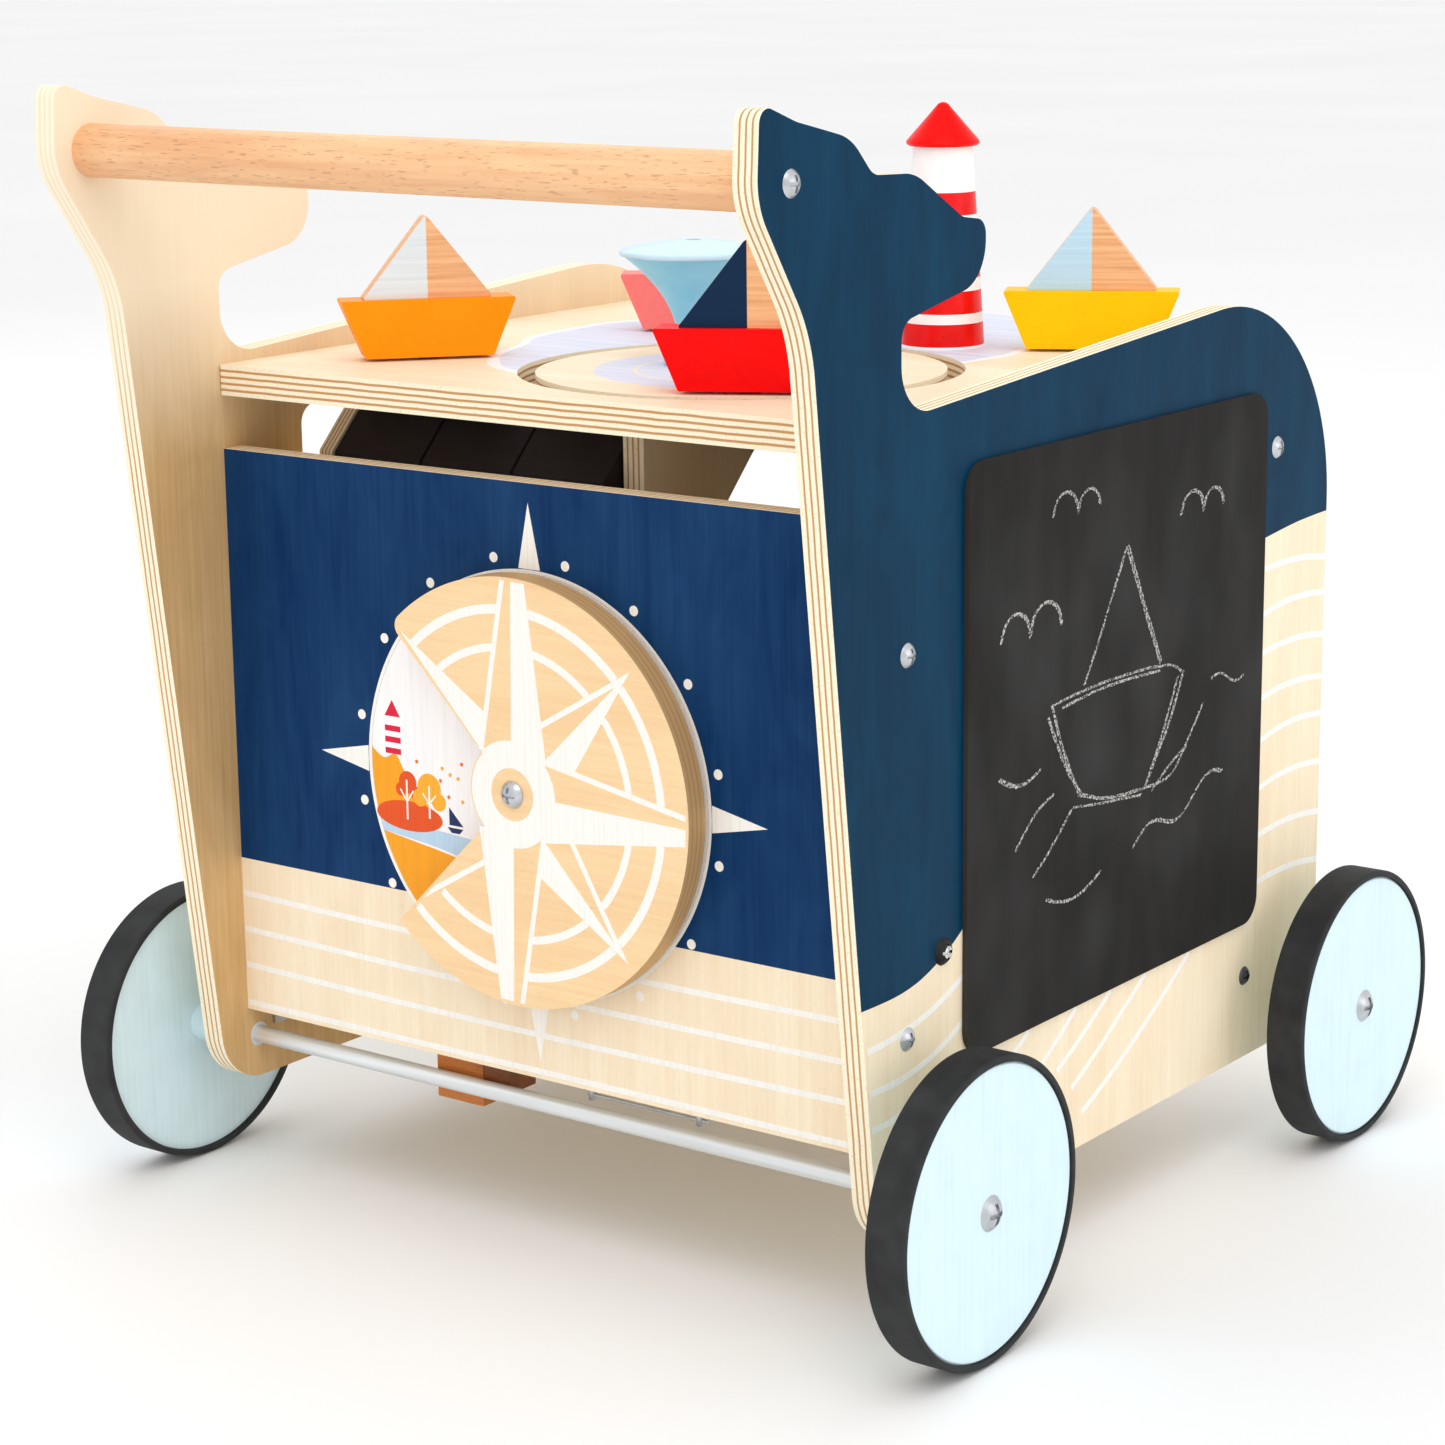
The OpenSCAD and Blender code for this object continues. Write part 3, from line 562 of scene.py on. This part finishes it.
# Compass disc: the darker tan cream of its edge layers is painted shade on the rim
finish_node("compass_disc", ply("compass_ply", "compass_disc", Y, X, dark=rgb(240, 202, 152),
                                light=rgb(252, 220, 174), cream=rgb(208, 174, 126)), 0.8)
finish_node("turntable", ply("turntable_ply", "turntable", Z, X, pool_paint), 0.8)
finish_node("chalkboard", ply("chalkboard_paint", "chalkboard", X, Z, chalk_dust, lines=1,
                              dark=rgb(27, 26, 25), light=rgb(40, 38, 37),
                              cream=rgb(60, 55, 50), brown=rgb(50, 46, 42), rough=0.5), 0.6)
for name in ("rear_battens", "turntable_bearer"):
    finish_node(name, batten_wood, 0.5)
for name in ("table_dowels", "lighthouse_dowel"):
    finish_node(name, batten_wood)
finish_node("push_bar", bar_wood)
for name in ("push_bar_bolts", "panel_screws", "hub_screws_rear", "hub_screws_front",
             "brake_spring", "corner_brackets", "compass_washer", "compass_bolt",
             "turntable_washer", "turntable_bolt", "knob_screw"):
    finish_node(name, zinc)
for name in ("rear_axle", "front_axle", "roller_rod"):
    finish_node(name, rod_zinc)
finish_node("bottom_screws", dark_steel)
finish_node("capped_screws", ringed_cap())
finish_node("axle_bushes", nylon)
for place in ("rear_right", "rear_left", "front_right", "front_left"):
    finish_node(f"wheel_disc_{place}", disc_paint)
    finish_node(f"tyre_{place}", tread)
finish_node("brake_shoe", timber("shoe_wood", rgb(176, 98, 40), rgb(214, 134, 62)), 0.6)
finish_node("brake_backing", timber("backing_wood", rgb(112, 62, 30), rgb(150, 88, 44)), 0.6)
finish_node("knob", knob_lacquer())
# Boats: how far each is turned in degrees, its hull's colour and its sail's painted half
for name, turn, hull, sail in (("red", 28, rgb(250, 2, 2), rgb(0, 40, 76)),
                               ("orange", 49, rgb(255, 150, 4), rgb(226, 236, 242)),
                               ("yellow", 28, rgb(255, 200, 0), rgb(190, 226, 250))):
    finish_node(f"{name}_hull", lacquer(f"{name}_lacquer", hull), 0.7, 3)
    finish_node(f"{name}_sail", two_tone_sail(f"{name}_sail_wood", f"{name}_sail", turn, sail), 0.5)
    finish_node(f"{name}_peg", peg_wood)
finish_node("coral_hull", lacquer("coral_lacquer", rgb(252, 126, 120)), 0.7, 3)
finish_node("coral_peg", peg_wood)
finish_node("lighthouse_tower", banded_tower(), 0.4)
finish_node("lighthouse_roof", lacquer("roof_lacquer", rgb(246, 6, 2), 0.3, Z))
for i in (1, 2, 3):
    finish_node(f"picture_block_{i}", block_paint, 0.8)


# ---------------------------------------------------------------- prints as thin layers

# A print's height off its face, its depth into it, and how much higher each next outline lies,
# all in mm
PRINT_LIFT, PRINT_SINK, OUTLINE_STEP = 0.06, 0.03, 0.002


def arc(cx, cy, r, start, end, steps):
    """Points on a circle from one angle in degrees to another."""
    angles = [math.radians(start + (end - start) * i / steps) for i in range(steps + 1)]
    return [(cx + r * math.cos(a), cy + r * math.sin(a)) for a in angles]


def band(r_in, r_out, start, end, steps=40):
    """Part of a ring round the hub."""
    return arc(0, 0, r_out, start, end, steps) + arc(0, 0, r_in, end, start, steps)


def dot(cx, cy, r, steps=20):
    return arc(cx, cy, r, 0, 360 - 360 / steps, steps - 1)


def between(a, b, c, d, u):
    """Catmull-Rom value a share u of the way from b to c, whose neighbours are a and d."""
    return 0.5 * (2 * b + (c - a) * u
                  + (2 * a - 5 * b + 4 * c - d) * u * u
                  + (3 * b - a - 3 * c + d) * u ** 3)


def smooth(points, steps):
    """Curve through the points, with so many steps from each to the next."""
    p = [points[0]] + list(points) + [points[-1]]
    out = []
    for a, b, c, d in zip(p, p[1:], p[2:], p[3:]):
        for s in range(steps):
            out.append(tuple(between(a[k], b[k], c[k], d[k], s / steps) for k in (0, 1)))
    return out + [tuple(points[-1])]


def stroke(points, width):
    """Outline of a line of even width through the points."""
    left, right = [], []
    for i, (a, b) in enumerate(points):
        before, after = points[max(i - 1, 0)], points[min(i + 1, len(points) - 1)]
        dx, dy = after[0] - before[0], after[1] - before[1]
        size = math.hypot(dx, dy) or 1.0
        nx, ny = -dy / size * width / 2, dx / size * width / 2
        left.append((a + nx, b + ny))
        right.append((a - nx, b - ny))
    return left + right[::-1]


def spun(points, degrees):
    """Points turned about the hub."""
    a = math.radians(degrees)
    return [(x * math.cos(a) - y * math.sin(a), x * math.sin(a) + y * math.cos(a))
            for x, y in points]


def layer(name, body, shapes, place, material, lift=PRINT_LIFT):
    """A thin painted layer: 2D outlines in mm, raised a hair above a face. place(u, v, height).

    Each outline lies a little higher than the last, so that those which overlap stay apart.
    """
    bm = bmesh.new()
    for order, shape in enumerate(shapes):
        height = lift + OUTLINE_STEP * order
        base = [bm.verts.new(Vector(place(u, v, -PRINT_SINK)) * MM) for u, v in shape]
        top = [bm.verts.new(Vector(place(u, v, height)) * MM) for u, v in shape]
        for a, b, c in tessellate_polygon([[Vector((u, v, 0)) for u, v in shape]]):
            bm.faces.new((top[a], top[b], top[c]))
            bm.faces.new((base[c], base[b], base[a]))
        for i in range(len(shape)):
            j = (i + 1) % len(shape)
            bm.faces.new((base[i], base[j], top[j], top[i]))
    bmesh.ops.recalc_face_normals(bm, faces=bm.faces)
    mesh = bpy.data.meshes.new(name)
    bm.to_mesh(mesh)
    bm.free()
    mesh.materials.append(material)
    o = bpy.data.objects.new(name, mesh)
    bpy.context.scene.collection.objects.link(o)
    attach(o, body)


def print_paint(name, colour):
    """Printed colour with the veneer's fibres faintly in it."""
    t = Look(name, rough=0.5, specular=0.3)
    streak = t.noise(along(Z, 60, 1.2), 3, 0.6)
    t.colour(t.ramp(streak, [(0.34, toned(colour, 0.93)), (0.56, colour)]))
    t.rough(streak, 0.45, 0.58)
    t.bump(streak, 0.03, 0.3)
    return t.mat


white = print_paint("print_white", WHITE_PAINT)

# Side panels: stripes that run on from the shore line, the same on both sides
STRIPES = [
    [(-172, 118), (-152, 119), (-130, 123), (-108, 131)],
    [(-170, 102), (-150, 102), (-128, 106), (-108, 114)],
    [(-169, 88), (-158, 88), (-147, 90)],
    [(58, 97), (30, 80), (0, 64), (-25, 53)],
    [(23, 97), (8, 88), (-12, 76), (-33, 65)],
    [(-4, 97), (-16, 90), (-30, 82), (-44, 75)],
    [(-30, 97), (-42, 89), (-55, 81)],
    [(-64, 97), (-75, 91)],
]
# The stripes ahead of the chalkboard: heights at its edge and at the panel's front edge
for near, far in ((245, 242), (226, 227), (210, 209), (191, 191), (173, 175), (153, 154),
                  (133, 132), (113, 111)):
    STRIPES.append([(112, near), (130, near + (far - near) * 0.5 + 2),
                    (150, near + (far - near) * 0.8 + 2), (168, far)])
SIDE_STRIPE = 2.5
outer = mm(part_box("side_panel_right")[1])[X]
stripes = [stroke(smooth(s, 6), SIDE_STRIPE) for s in STRIPES]
for side, sign in (("right", 1), ("left", -1)):
    layer(f"stripes_{side}", "frame", stripes,
          lambda u, v, h: (sign * (outer + h), AHEAD / MM + u, v), white)

# Back panel: stripes below the navy field, and the compass's outer marks round its hub.
# In mm: the stripes' width, the heights of their ends, how low each hangs at three places
# between, how far the ends stop short of the panel's, and the lowest one's height on the panel
BACK_STRIPE = 2.4
BACK_STRIPE_HEIGHTS = (119.6, 104.4, 89.2)
SAG = ((-80, 1.2), (0, 1.4), (80, 1.0))
STRIPE_INSET, LOWEST_STRIPE = 0.5, 3
MARK_RING = (82.3, 83.8)
DOT_ORBIT, DOT_RADIUS = 88.6, 2.0
# Points outside the ring: how far from the hub they start and end, and half their width
POINT_FOOT, POINT_TIP, POINT_HALF = 84, 109, 5.2
back_face = mm(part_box("back_panel")[0])[Y]
stripe_end = mm(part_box("back_panel")[1])[X] - STRIPE_INSET
panel_foot = mm(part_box("back_panel")[0])[Z]
hub = (mm(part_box("compass_bolt")[0]) + mm(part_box("compass_bolt")[1])) / 2


def on_back(u, v, h):
    return (u, back_face - h, hub[Z] + v)


marks = []
for height in BACK_STRIPE_HEIGHTS:
    v = height - hub[Z]
    hanging = [(-stripe_end, v)] + [(u, v - low) for u, low in SAG] + [(stripe_end, v)]
    marks.append(stroke(smooth(hanging, 6), BACK_STRIPE))
v = panel_foot + LOWEST_STRIPE - hub[Z]
marks.append(stroke([(-stripe_end, v), (stripe_end, v)], BACK_STRIPE))
marks += [band(*MARK_RING, a, a + 90) for a in (0, 90, 180, 270)]
for k in range(16):
    a = math.radians(11.25 + 22.5 * k)
    marks.append(dot(DOT_ORBIT * math.cos(a), DOT_ORBIT * math.sin(a), DOT_RADIUS, 14))
point = [(POINT_FOOT, -POINT_HALF), (POINT_TIP, 0), (POINT_FOOT, POINT_HALF)]
marks += [spun(point, a) for a in (0, 90, 180, 270)]
layer("compass_marks", "frame", marks, on_back, white)

# Seaside picture behind the compass disc's window
TONES = {
    "sky": rgb(255, 252, 252), "dune": rgb(252, 166, 22), "bush": rgb(234, 84, 22),
    "leaf": rgb(242, 120, 34), "gold": rgb(252, 178, 44), "sea": rgb(190, 218, 240),
    "crimson": rgb(226, 16, 62), "ink": rgb(20, 44, 92),
}
prints = {k: print_paint(f"print_{k}", c) for k, c in TONES.items()}
SKY_RADIUS, GROUND_RADIUS = 82.2, 82.1
# Heights off the board in mm, so that what is nearer covers what is behind it
AT_SKY, AT_SEA, AT_GROUND, AT_BUSH = 0.05, 0.08, 0.09, 0.11
AT_TREE, AT_GOLD, AT_TRUNK = 0.13, 0.14, 0.15


def picture(name, shapes, paint, lift):
    """A print of the picture, in mm from the compass's hub."""
    layer(f"picture_{name}", "frame", shapes, on_back, paint, lift)


def crown(x, y, r):
    return [dot(x, y, r), dot(x - 0.8 * r, y - 0.7 * r, 0.6 * r),
            dot(x + 0.8 * r, y - 0.8 * r, 0.6 * r)]


def trunk(x, y, height):
    """Trunk with a twig on either side."""
    twigs = [stroke([(x, y + 0.45 * height), (x + side * 3.4, y + 0.75 * height)], 0.7)
             for side in (-1, 1)]
    return [stroke([(x, y), (x, y + height)], 0.9)] + twigs


picture("sky", [dot(0, 0, SKY_RADIUS, 120)], prints["sky"], AT_SKY)
tower_roof = [(-75, 18.5), (-67, 18.5), (-71, 25)]
tower_bands = [[(-75, y), (-67, y), (-67, y + 2.3), (-75, y + 2.3)] for y in (12.5, 8, 3.5)]
picture("tower", [tower_roof] + tower_bands, prints["crimson"], AT_GROUND)
dune_top = [(-82, 5), (-76, 1.5), (-70, 3.5), (-66, -2), (-60, -10), (-52, -16), (-49, -20)]
picture("dune", [arc(0, 0, GROUND_RADIUS, 195, 176, 12) + smooth(dune_top, 6)[1:] + [(-60, -23)]],
        prints["dune"], AT_GROUND)
picture("sand", [arc(0, 0, GROUND_RADIUS, 200, 226, 16) + [(-38, -34), (-50, -32), (-64, -30)]],
        prints["dune"], AT_GROUND)
near_shore = [(-68, -29), (-50, -31), (-34, -34)]
far_shore = [(-24, -26), (-36, -25), (-52, -24), (-68, -23), (-78, -21)]
picture("sea", [arc(0, 0, GROUND_RADIUS, 195, 200, 6) + smooth(near_shore, 5) + smooth(far_shore, 5)],
        prints["sea"], AT_SEA)
bush = [(-63.5 + 17 * math.cos(a), -20.5 + 6 * math.sin(a))
        for a in (math.radians(10 * k) for k in range(36))]
picture("bush", [bush], prints["bush"], AT_BUSH)
picture("tree", crown(-64, -7, 4.5), prints["bush"], AT_TREE)
picture("tree_gold", crown(-53, -8, 6), prints["gold"], AT_GOLD)
picture("trunks", trunk(-64.5, -22, 16) + trunk(-53, -20, 13), white, AT_TRUNK)
boat_sail = [(-43, -21), (-43, -14), (-36, -21)]
boat_hull = [(-44, -22), (-36, -22), (-38, -24), (-42, -24)]
picture("boat", [boat_sail, boat_hull], prints["ink"], AT_TREE)
# What the window shows when it is turned: a cloud above, a sun to the right and waves below
picture("cloud", [dot(-12, 52, 8), dot(0, 56, 10), dot(12, 52, 8)], prints["sea"], AT_GROUND)
picture("sun", [dot(54, 4, 13, 40)], prints["gold"], AT_GROUND)
waves = [stroke([(x, y + 2.5 * math.sin(x / 4)) for x in range(-26, 27, 2)], 2.4)
         for y in (-40, -51, -62)]
picture("waves", waves, prints["sea"], AT_GROUND)
leaves = [dot(x, y, 0.8, 10) for x, y in ((-59, 2), (-46, 1), (-36, 4), (-38, -2), (-43, -10),
                                          (-36, -11), (-47, -4), (-42, -1))]
picture("leaves", leaves[::2], prints["leaf"], AT_TREE)
picture("leaves_gold", leaves[1::2], prints["gold"], AT_TREE)

# Compass disc: star with half-painted points, rings and a painted hub, in mm and degrees.
# A root or an end is a distance from the hub and a half width.
TILT = -1.5
WINDOW = (135.0, 225.0)
HUB_RING = (10.2, 20.8)
LONG_ROOT, LONG_END = (15.0, 16.3), (81.6, 5.9)
SHORT_ROOT, SHORT_TIP = (15.0, 15.4), 78.7
# Width of an edge line, and how far a painted half reaches past its point's middle line
LINE, PAST_MIDDLE = 2.3, 0.6
# Where the window's lower edge cuts the point beside it, with that point laid along u
CUT = [(0, 0.6), (100, 4.1)]
# Middle radius and width of the two rings, and the degrees they stay clear of the window
RINGS = ((70.8, 3.6), (56.3, 3.1))
WINDOW_GAP = 1.2
disc_face = mm(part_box("compass_disc")[0])[Y]


def on_disc(u, v, h):
    return (u, disc_face - h, hub[Z] + v)


def meet(a, b, c, d):
    """Point where the line a-b crosses the line c-d."""
    ux, uy, wx, wy = b[0] - a[0], b[1] - a[1], d[0] - c[0], d[1] - c[1]
    t = ((c[0] - a[0]) * wy - (c[1] - a[1]) * wx) / (ux * wy - uy * wx)
    return (a[0] + ux * t, a[1] + uy * t)


def long_point(at):
    """The clockwise half is painted, the other has only its outer edge drawn."""
    (r0, w0), (r1, w1) = LONG_ROOT, LONG_END
    painted = [(r0, PAST_MIDDLE), (r1, PAST_MIDDLE), (r1, -w1), (r0, -w0)]
    edge = [(r0, w0), (r0, w0 - LINE), (r1, w1 - LINE), (r1, w1)]
    return [spun(painted, at), spun(edge, at)]


def short_point(at, halves=("painted", "edge")):
    """Drawn like a long point but lying under its two neighbours."""
    (r0, w0), tip = SHORT_ROOT, SHORT_TIP
    clockwise = spun([LONG_ROOT, LONG_END], -45)
    other = spun([(LONG_ROOT[0], -LONG_ROOT[1]), (LONG_END[0], -LONG_END[1])], 45)
    slope = w0 / (tip - r0)
    low_edge, high_edge = [(r0, -w0), (tip, 0)], [(r0, w0), (tip, 0)]
    inner_edge = [(r0, w0 - LINE), (tip - LINE / slope, 0)]
    root = [meet(*high_edge, *other), meet(*inner_edge, *other)]
    out = []
    if "painted" in halves:
        valley = meet(*clockwise, *other)
        out.append(spun([valley, meet(*low_edge, *clockwise), (tip, 0)], at))
    if "edge" in halves:
        out.append(spun(root + [inner_edge[1], (tip, 0)], at))
    if "cut_edge" in halves:
        out.append(spun(root + [meet(*inner_edge, *CUT), meet(*high_edge, *CUT)], at))
    return out


def half_angle(at, r):
    """Half the angle that a point of the star takes up at a radius."""
    (r0, w0), (r1, w1) = LONG_ROOT, LONG_END
    if round(at / 45) % 2 == 0:
        width = w0 + (w1 - w0) * (r - r0) / (r1 - r0)
    else:
        width = SHORT_ROOT[1] * (SHORT_TIP - r) / (SHORT_TIP - SHORT_ROOT[0])
    return math.degrees(math.atan2(width, r))


star = []
for at in (90, 0, 270):
    star += long_point(at + TILT)
for at in (45, 315):
    star += short_point(at + TILT)
star += short_point(135 + TILT, ("painted",)) + short_point(225 + TILT, ("cut_edge",))
for radius, width in RINGS:
    for low in (-135, -90, -45, 0, 45, 90):
        start = low + half_angle(low, radius) + TILT
        end = low + 45 - half_angle(low + 45, radius) + TILT
        if low == -135:
            start += WINDOW_GAP
        star.append(band(radius - width / 2, radius + width / 2, start, end, steps=14))
star += [band(*HUB_RING, a, a + 90, steps=20) for a in (-135, -45, 45)]
star.append(band(HUB_RING[0], HUB_RING[1] - 1, *WINDOW, steps=20))
layer("compass_star", "compass", star, on_disc, white)


def puffs(x, y, *radii):
    """A cloud's upper edge: half circles side by side."""
    out = []
    for r in radii:
        out += arc(x + r, y, r, 175, 5, 5)
        x += 2 * r
    return out


def swell(x, y, length, rise, height, waves=1.0, steps=8):
    """A line of waves that may climb."""
    return [(x + length * i / steps,
             y + rise * i / steps + height * math.sin(2 * math.pi * waves * i / steps))
            for i in range(steps + 1)]


# A plain sailing boat, clouds and waves, in mm from the middle of the chalkboard
CHALK = [
    puffs(-54, 82, 9, 8), puffs(41, 69, 9, 8), puffs(-89, 41, 10, 11),
    [(0, 64), (-15, 39), (-30, 16)], [(0, 64), (14, 38), (27, 14)],
    [(-54, 12), (-27, 14), (6, 14), (34, 12), (45, 7)], [(-46, 10), (-20, 12), (6, 12), (27, 11)],
    [(45, 7), (34, -12), (16, -34)], [(41, 6), (30, -14), (18, -32)],
    [(-54, 12), (-46, -6), (-34, -26)], [(-56, 8), (-44, -12), (-32, -26)],
    [(-34, -26), (-12, -32), (16, -34)], [(-38, -30), (-16, -33), (14, -36)],
    [(16, -34), (36, -33), (50, -21), (61, -9)], swell(22, -36, 26, 12, 1, 0.5),
    swell(8, -56, 70, 16, 4, 1.5, 14), swell(68, 0, 27, -3, 2), swell(-90, -9, 28, -2, -4, 0.5),
    swell(-78, -38, 27, 16, 3, 0.5), swell(-66, -51, 27, 20, -1, 0.5), swell(-57, -62, 40, 2, -5, 0.5),
]
# Each line is drawn a few times over. In mm: how far a copy strays, its jitter and its width.
COPIES, STRAY, JITTER, CHALK_WIDTH = 3, 0.8, 0.2, (0.6, 1.0)
CHALK_LIFT = 0.08
board_low, board_high = (mm(c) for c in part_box("chalkboard"))
mid_y, mid_z = (board_low[Y] + board_high[Y]) / 2, (board_low[Z] + board_high[Z]) / 2
rng = random.Random(7)
chalk_shapes = []
for line in CHALK:
    for _ in range(COPIES):
        path = smooth(line, 7)
        shake = rng.uniform(-STRAY, STRAY)
        path = [(a + shake + rng.uniform(-JITTER, JITTER), b + shake / 2 + rng.uniform(-JITTER, JITTER))
                for a, b in path]
        chalk_shapes.append(stroke(path, rng.uniform(*CHALK_WIDTH)))
chalk = Look("chalk_line", rough=0.9, specular=0.1)
grit = chalk.noise(1.0, 3, 0.7)
chalk.colour(chalk.ramp(grit, [(0.44, rgb(52, 51, 50)), (0.6, rgb(206, 204, 201))]))
chalk.bump(grit, 0.1, 0.6)
layer("chalk_drawing", "frame", chalk_shapes,
      lambda u, v, h: (board_high[X] + h, mid_y + u, mid_z + v), chalk.mat, CHALK_LIFT)


# ---------------------------------------------------------------- studio

# The floor reaches this far to each side and lies this far below the tyres, in metres
FLOOR_REACH, FLOOR_DROP = 40, 0.0004
LIT_POINT = (0, 0, 0.2)
# Name, place, side length and power of each square light
LIGHTS = (("key_light", (0.9, -1.0, 2.2), 1.6, 13),
          ("side_light", (2.4, 0.2, 0.9), 1.4, 5),
          ("rear_light", (-1.6, 1.4, 1.8), 1.5, 5))
# Camera: lens and sensor in mm, the view's angles, and its place in metres to the right of the
# walker's middle, behind the axles' middle and above the floor
LENS, SENSOR = 87.87, 36.0
AZIMUTH, ELEVATION, ROLL = (math.radians(a) for a in (36.68, 13.22, -0.63))
CAMERA_RIGHT, CAMERA_BEHIND, CAMERA_HEIGHT = 0.8303, 1.1471, 0.5145


def add_floor():
    r, z = FLOOR_REACH, -FLOOR_DROP
    mesh = bpy.data.meshes.new("studio_floor")
    mesh.from_pydata([(-r, -r, z), (r, -r, z), (r, r, z), (-r, r, z)], [], [(0, 1, 2, 3)])
    o = bpy.data.objects.new("studio_floor", mesh)
    bpy.context.scene.collection.objects.link(o)
    t = Look("studio_paper", rough=0.9)
    cloud = t.noise(900, 2)
    t.colour(t.ramp(cloud, [(0.3, rgb(243, 243, 243)), (0.7, rgb(247, 247, 247))]))
    mesh.materials.append(t.mat)


def add_light(name, place, side, power):
    """Square light that looks at the walker."""
    data = bpy.data.lights.new(name, "AREA")
    data.shape = "RECTANGLE"
    data.size, data.size_y = side, side
    data.energy = power
    o = bpy.data.objects.new(name, data)
    o.location = place
    o.rotation_euler = (Vector(LIT_POINT) - Vector(place)).to_track_quat("-Z", "Y").to_euler()
    bpy.context.scene.collection.objects.link(o)


def add_camera():
    """Camera at the photograph's viewing angle, rolled a little about its own axis."""
    back = Vector((math.sin(AZIMUTH) * math.cos(ELEVATION), -math.cos(AZIMUTH) * math.cos(ELEVATION),
                   math.sin(ELEVATION)))
    right = Vector((math.cos(AZIMUTH), math.sin(AZIMUTH), 0))
    up = back.cross(right)
    rolled_right = math.cos(ROLL) * right + math.sin(ROLL) * up
    rolled_up = math.cos(ROLL) * up - math.sin(ROLL) * right
    turned = Matrix((rolled_right, rolled_up, back)).transposed().to_4x4()
    data = bpy.data.cameras.new("photo_camera")
    data.lens = LENS
    data.sensor_width = SENSOR
    data.clip_end = 100
    o = bpy.data.objects.new("photo_camera", data)
    o.matrix_world = Matrix.Translation((CAMERA_RIGHT, AHEAD - CAMERA_BEHIND, CAMERA_HEIGHT)) @ turned
    bpy.context.scene.collection.objects.link(o)
    bpy.context.scene.camera = o


add_floor()
world = bpy.data.worlds.new("studio_world")
world.use_nodes = True
world.node_tree.nodes["Background"].inputs["Color"].default_value = (1, 1, 1, 1)
world.node_tree.nodes["Background"].inputs["Strength"].default_value = 1.0
bpy.context.scene.world = world
for light in LIGHTS:
    add_light(*light)
add_camera()
bpy.context.scene.view_settings.view_transform = "Standard"
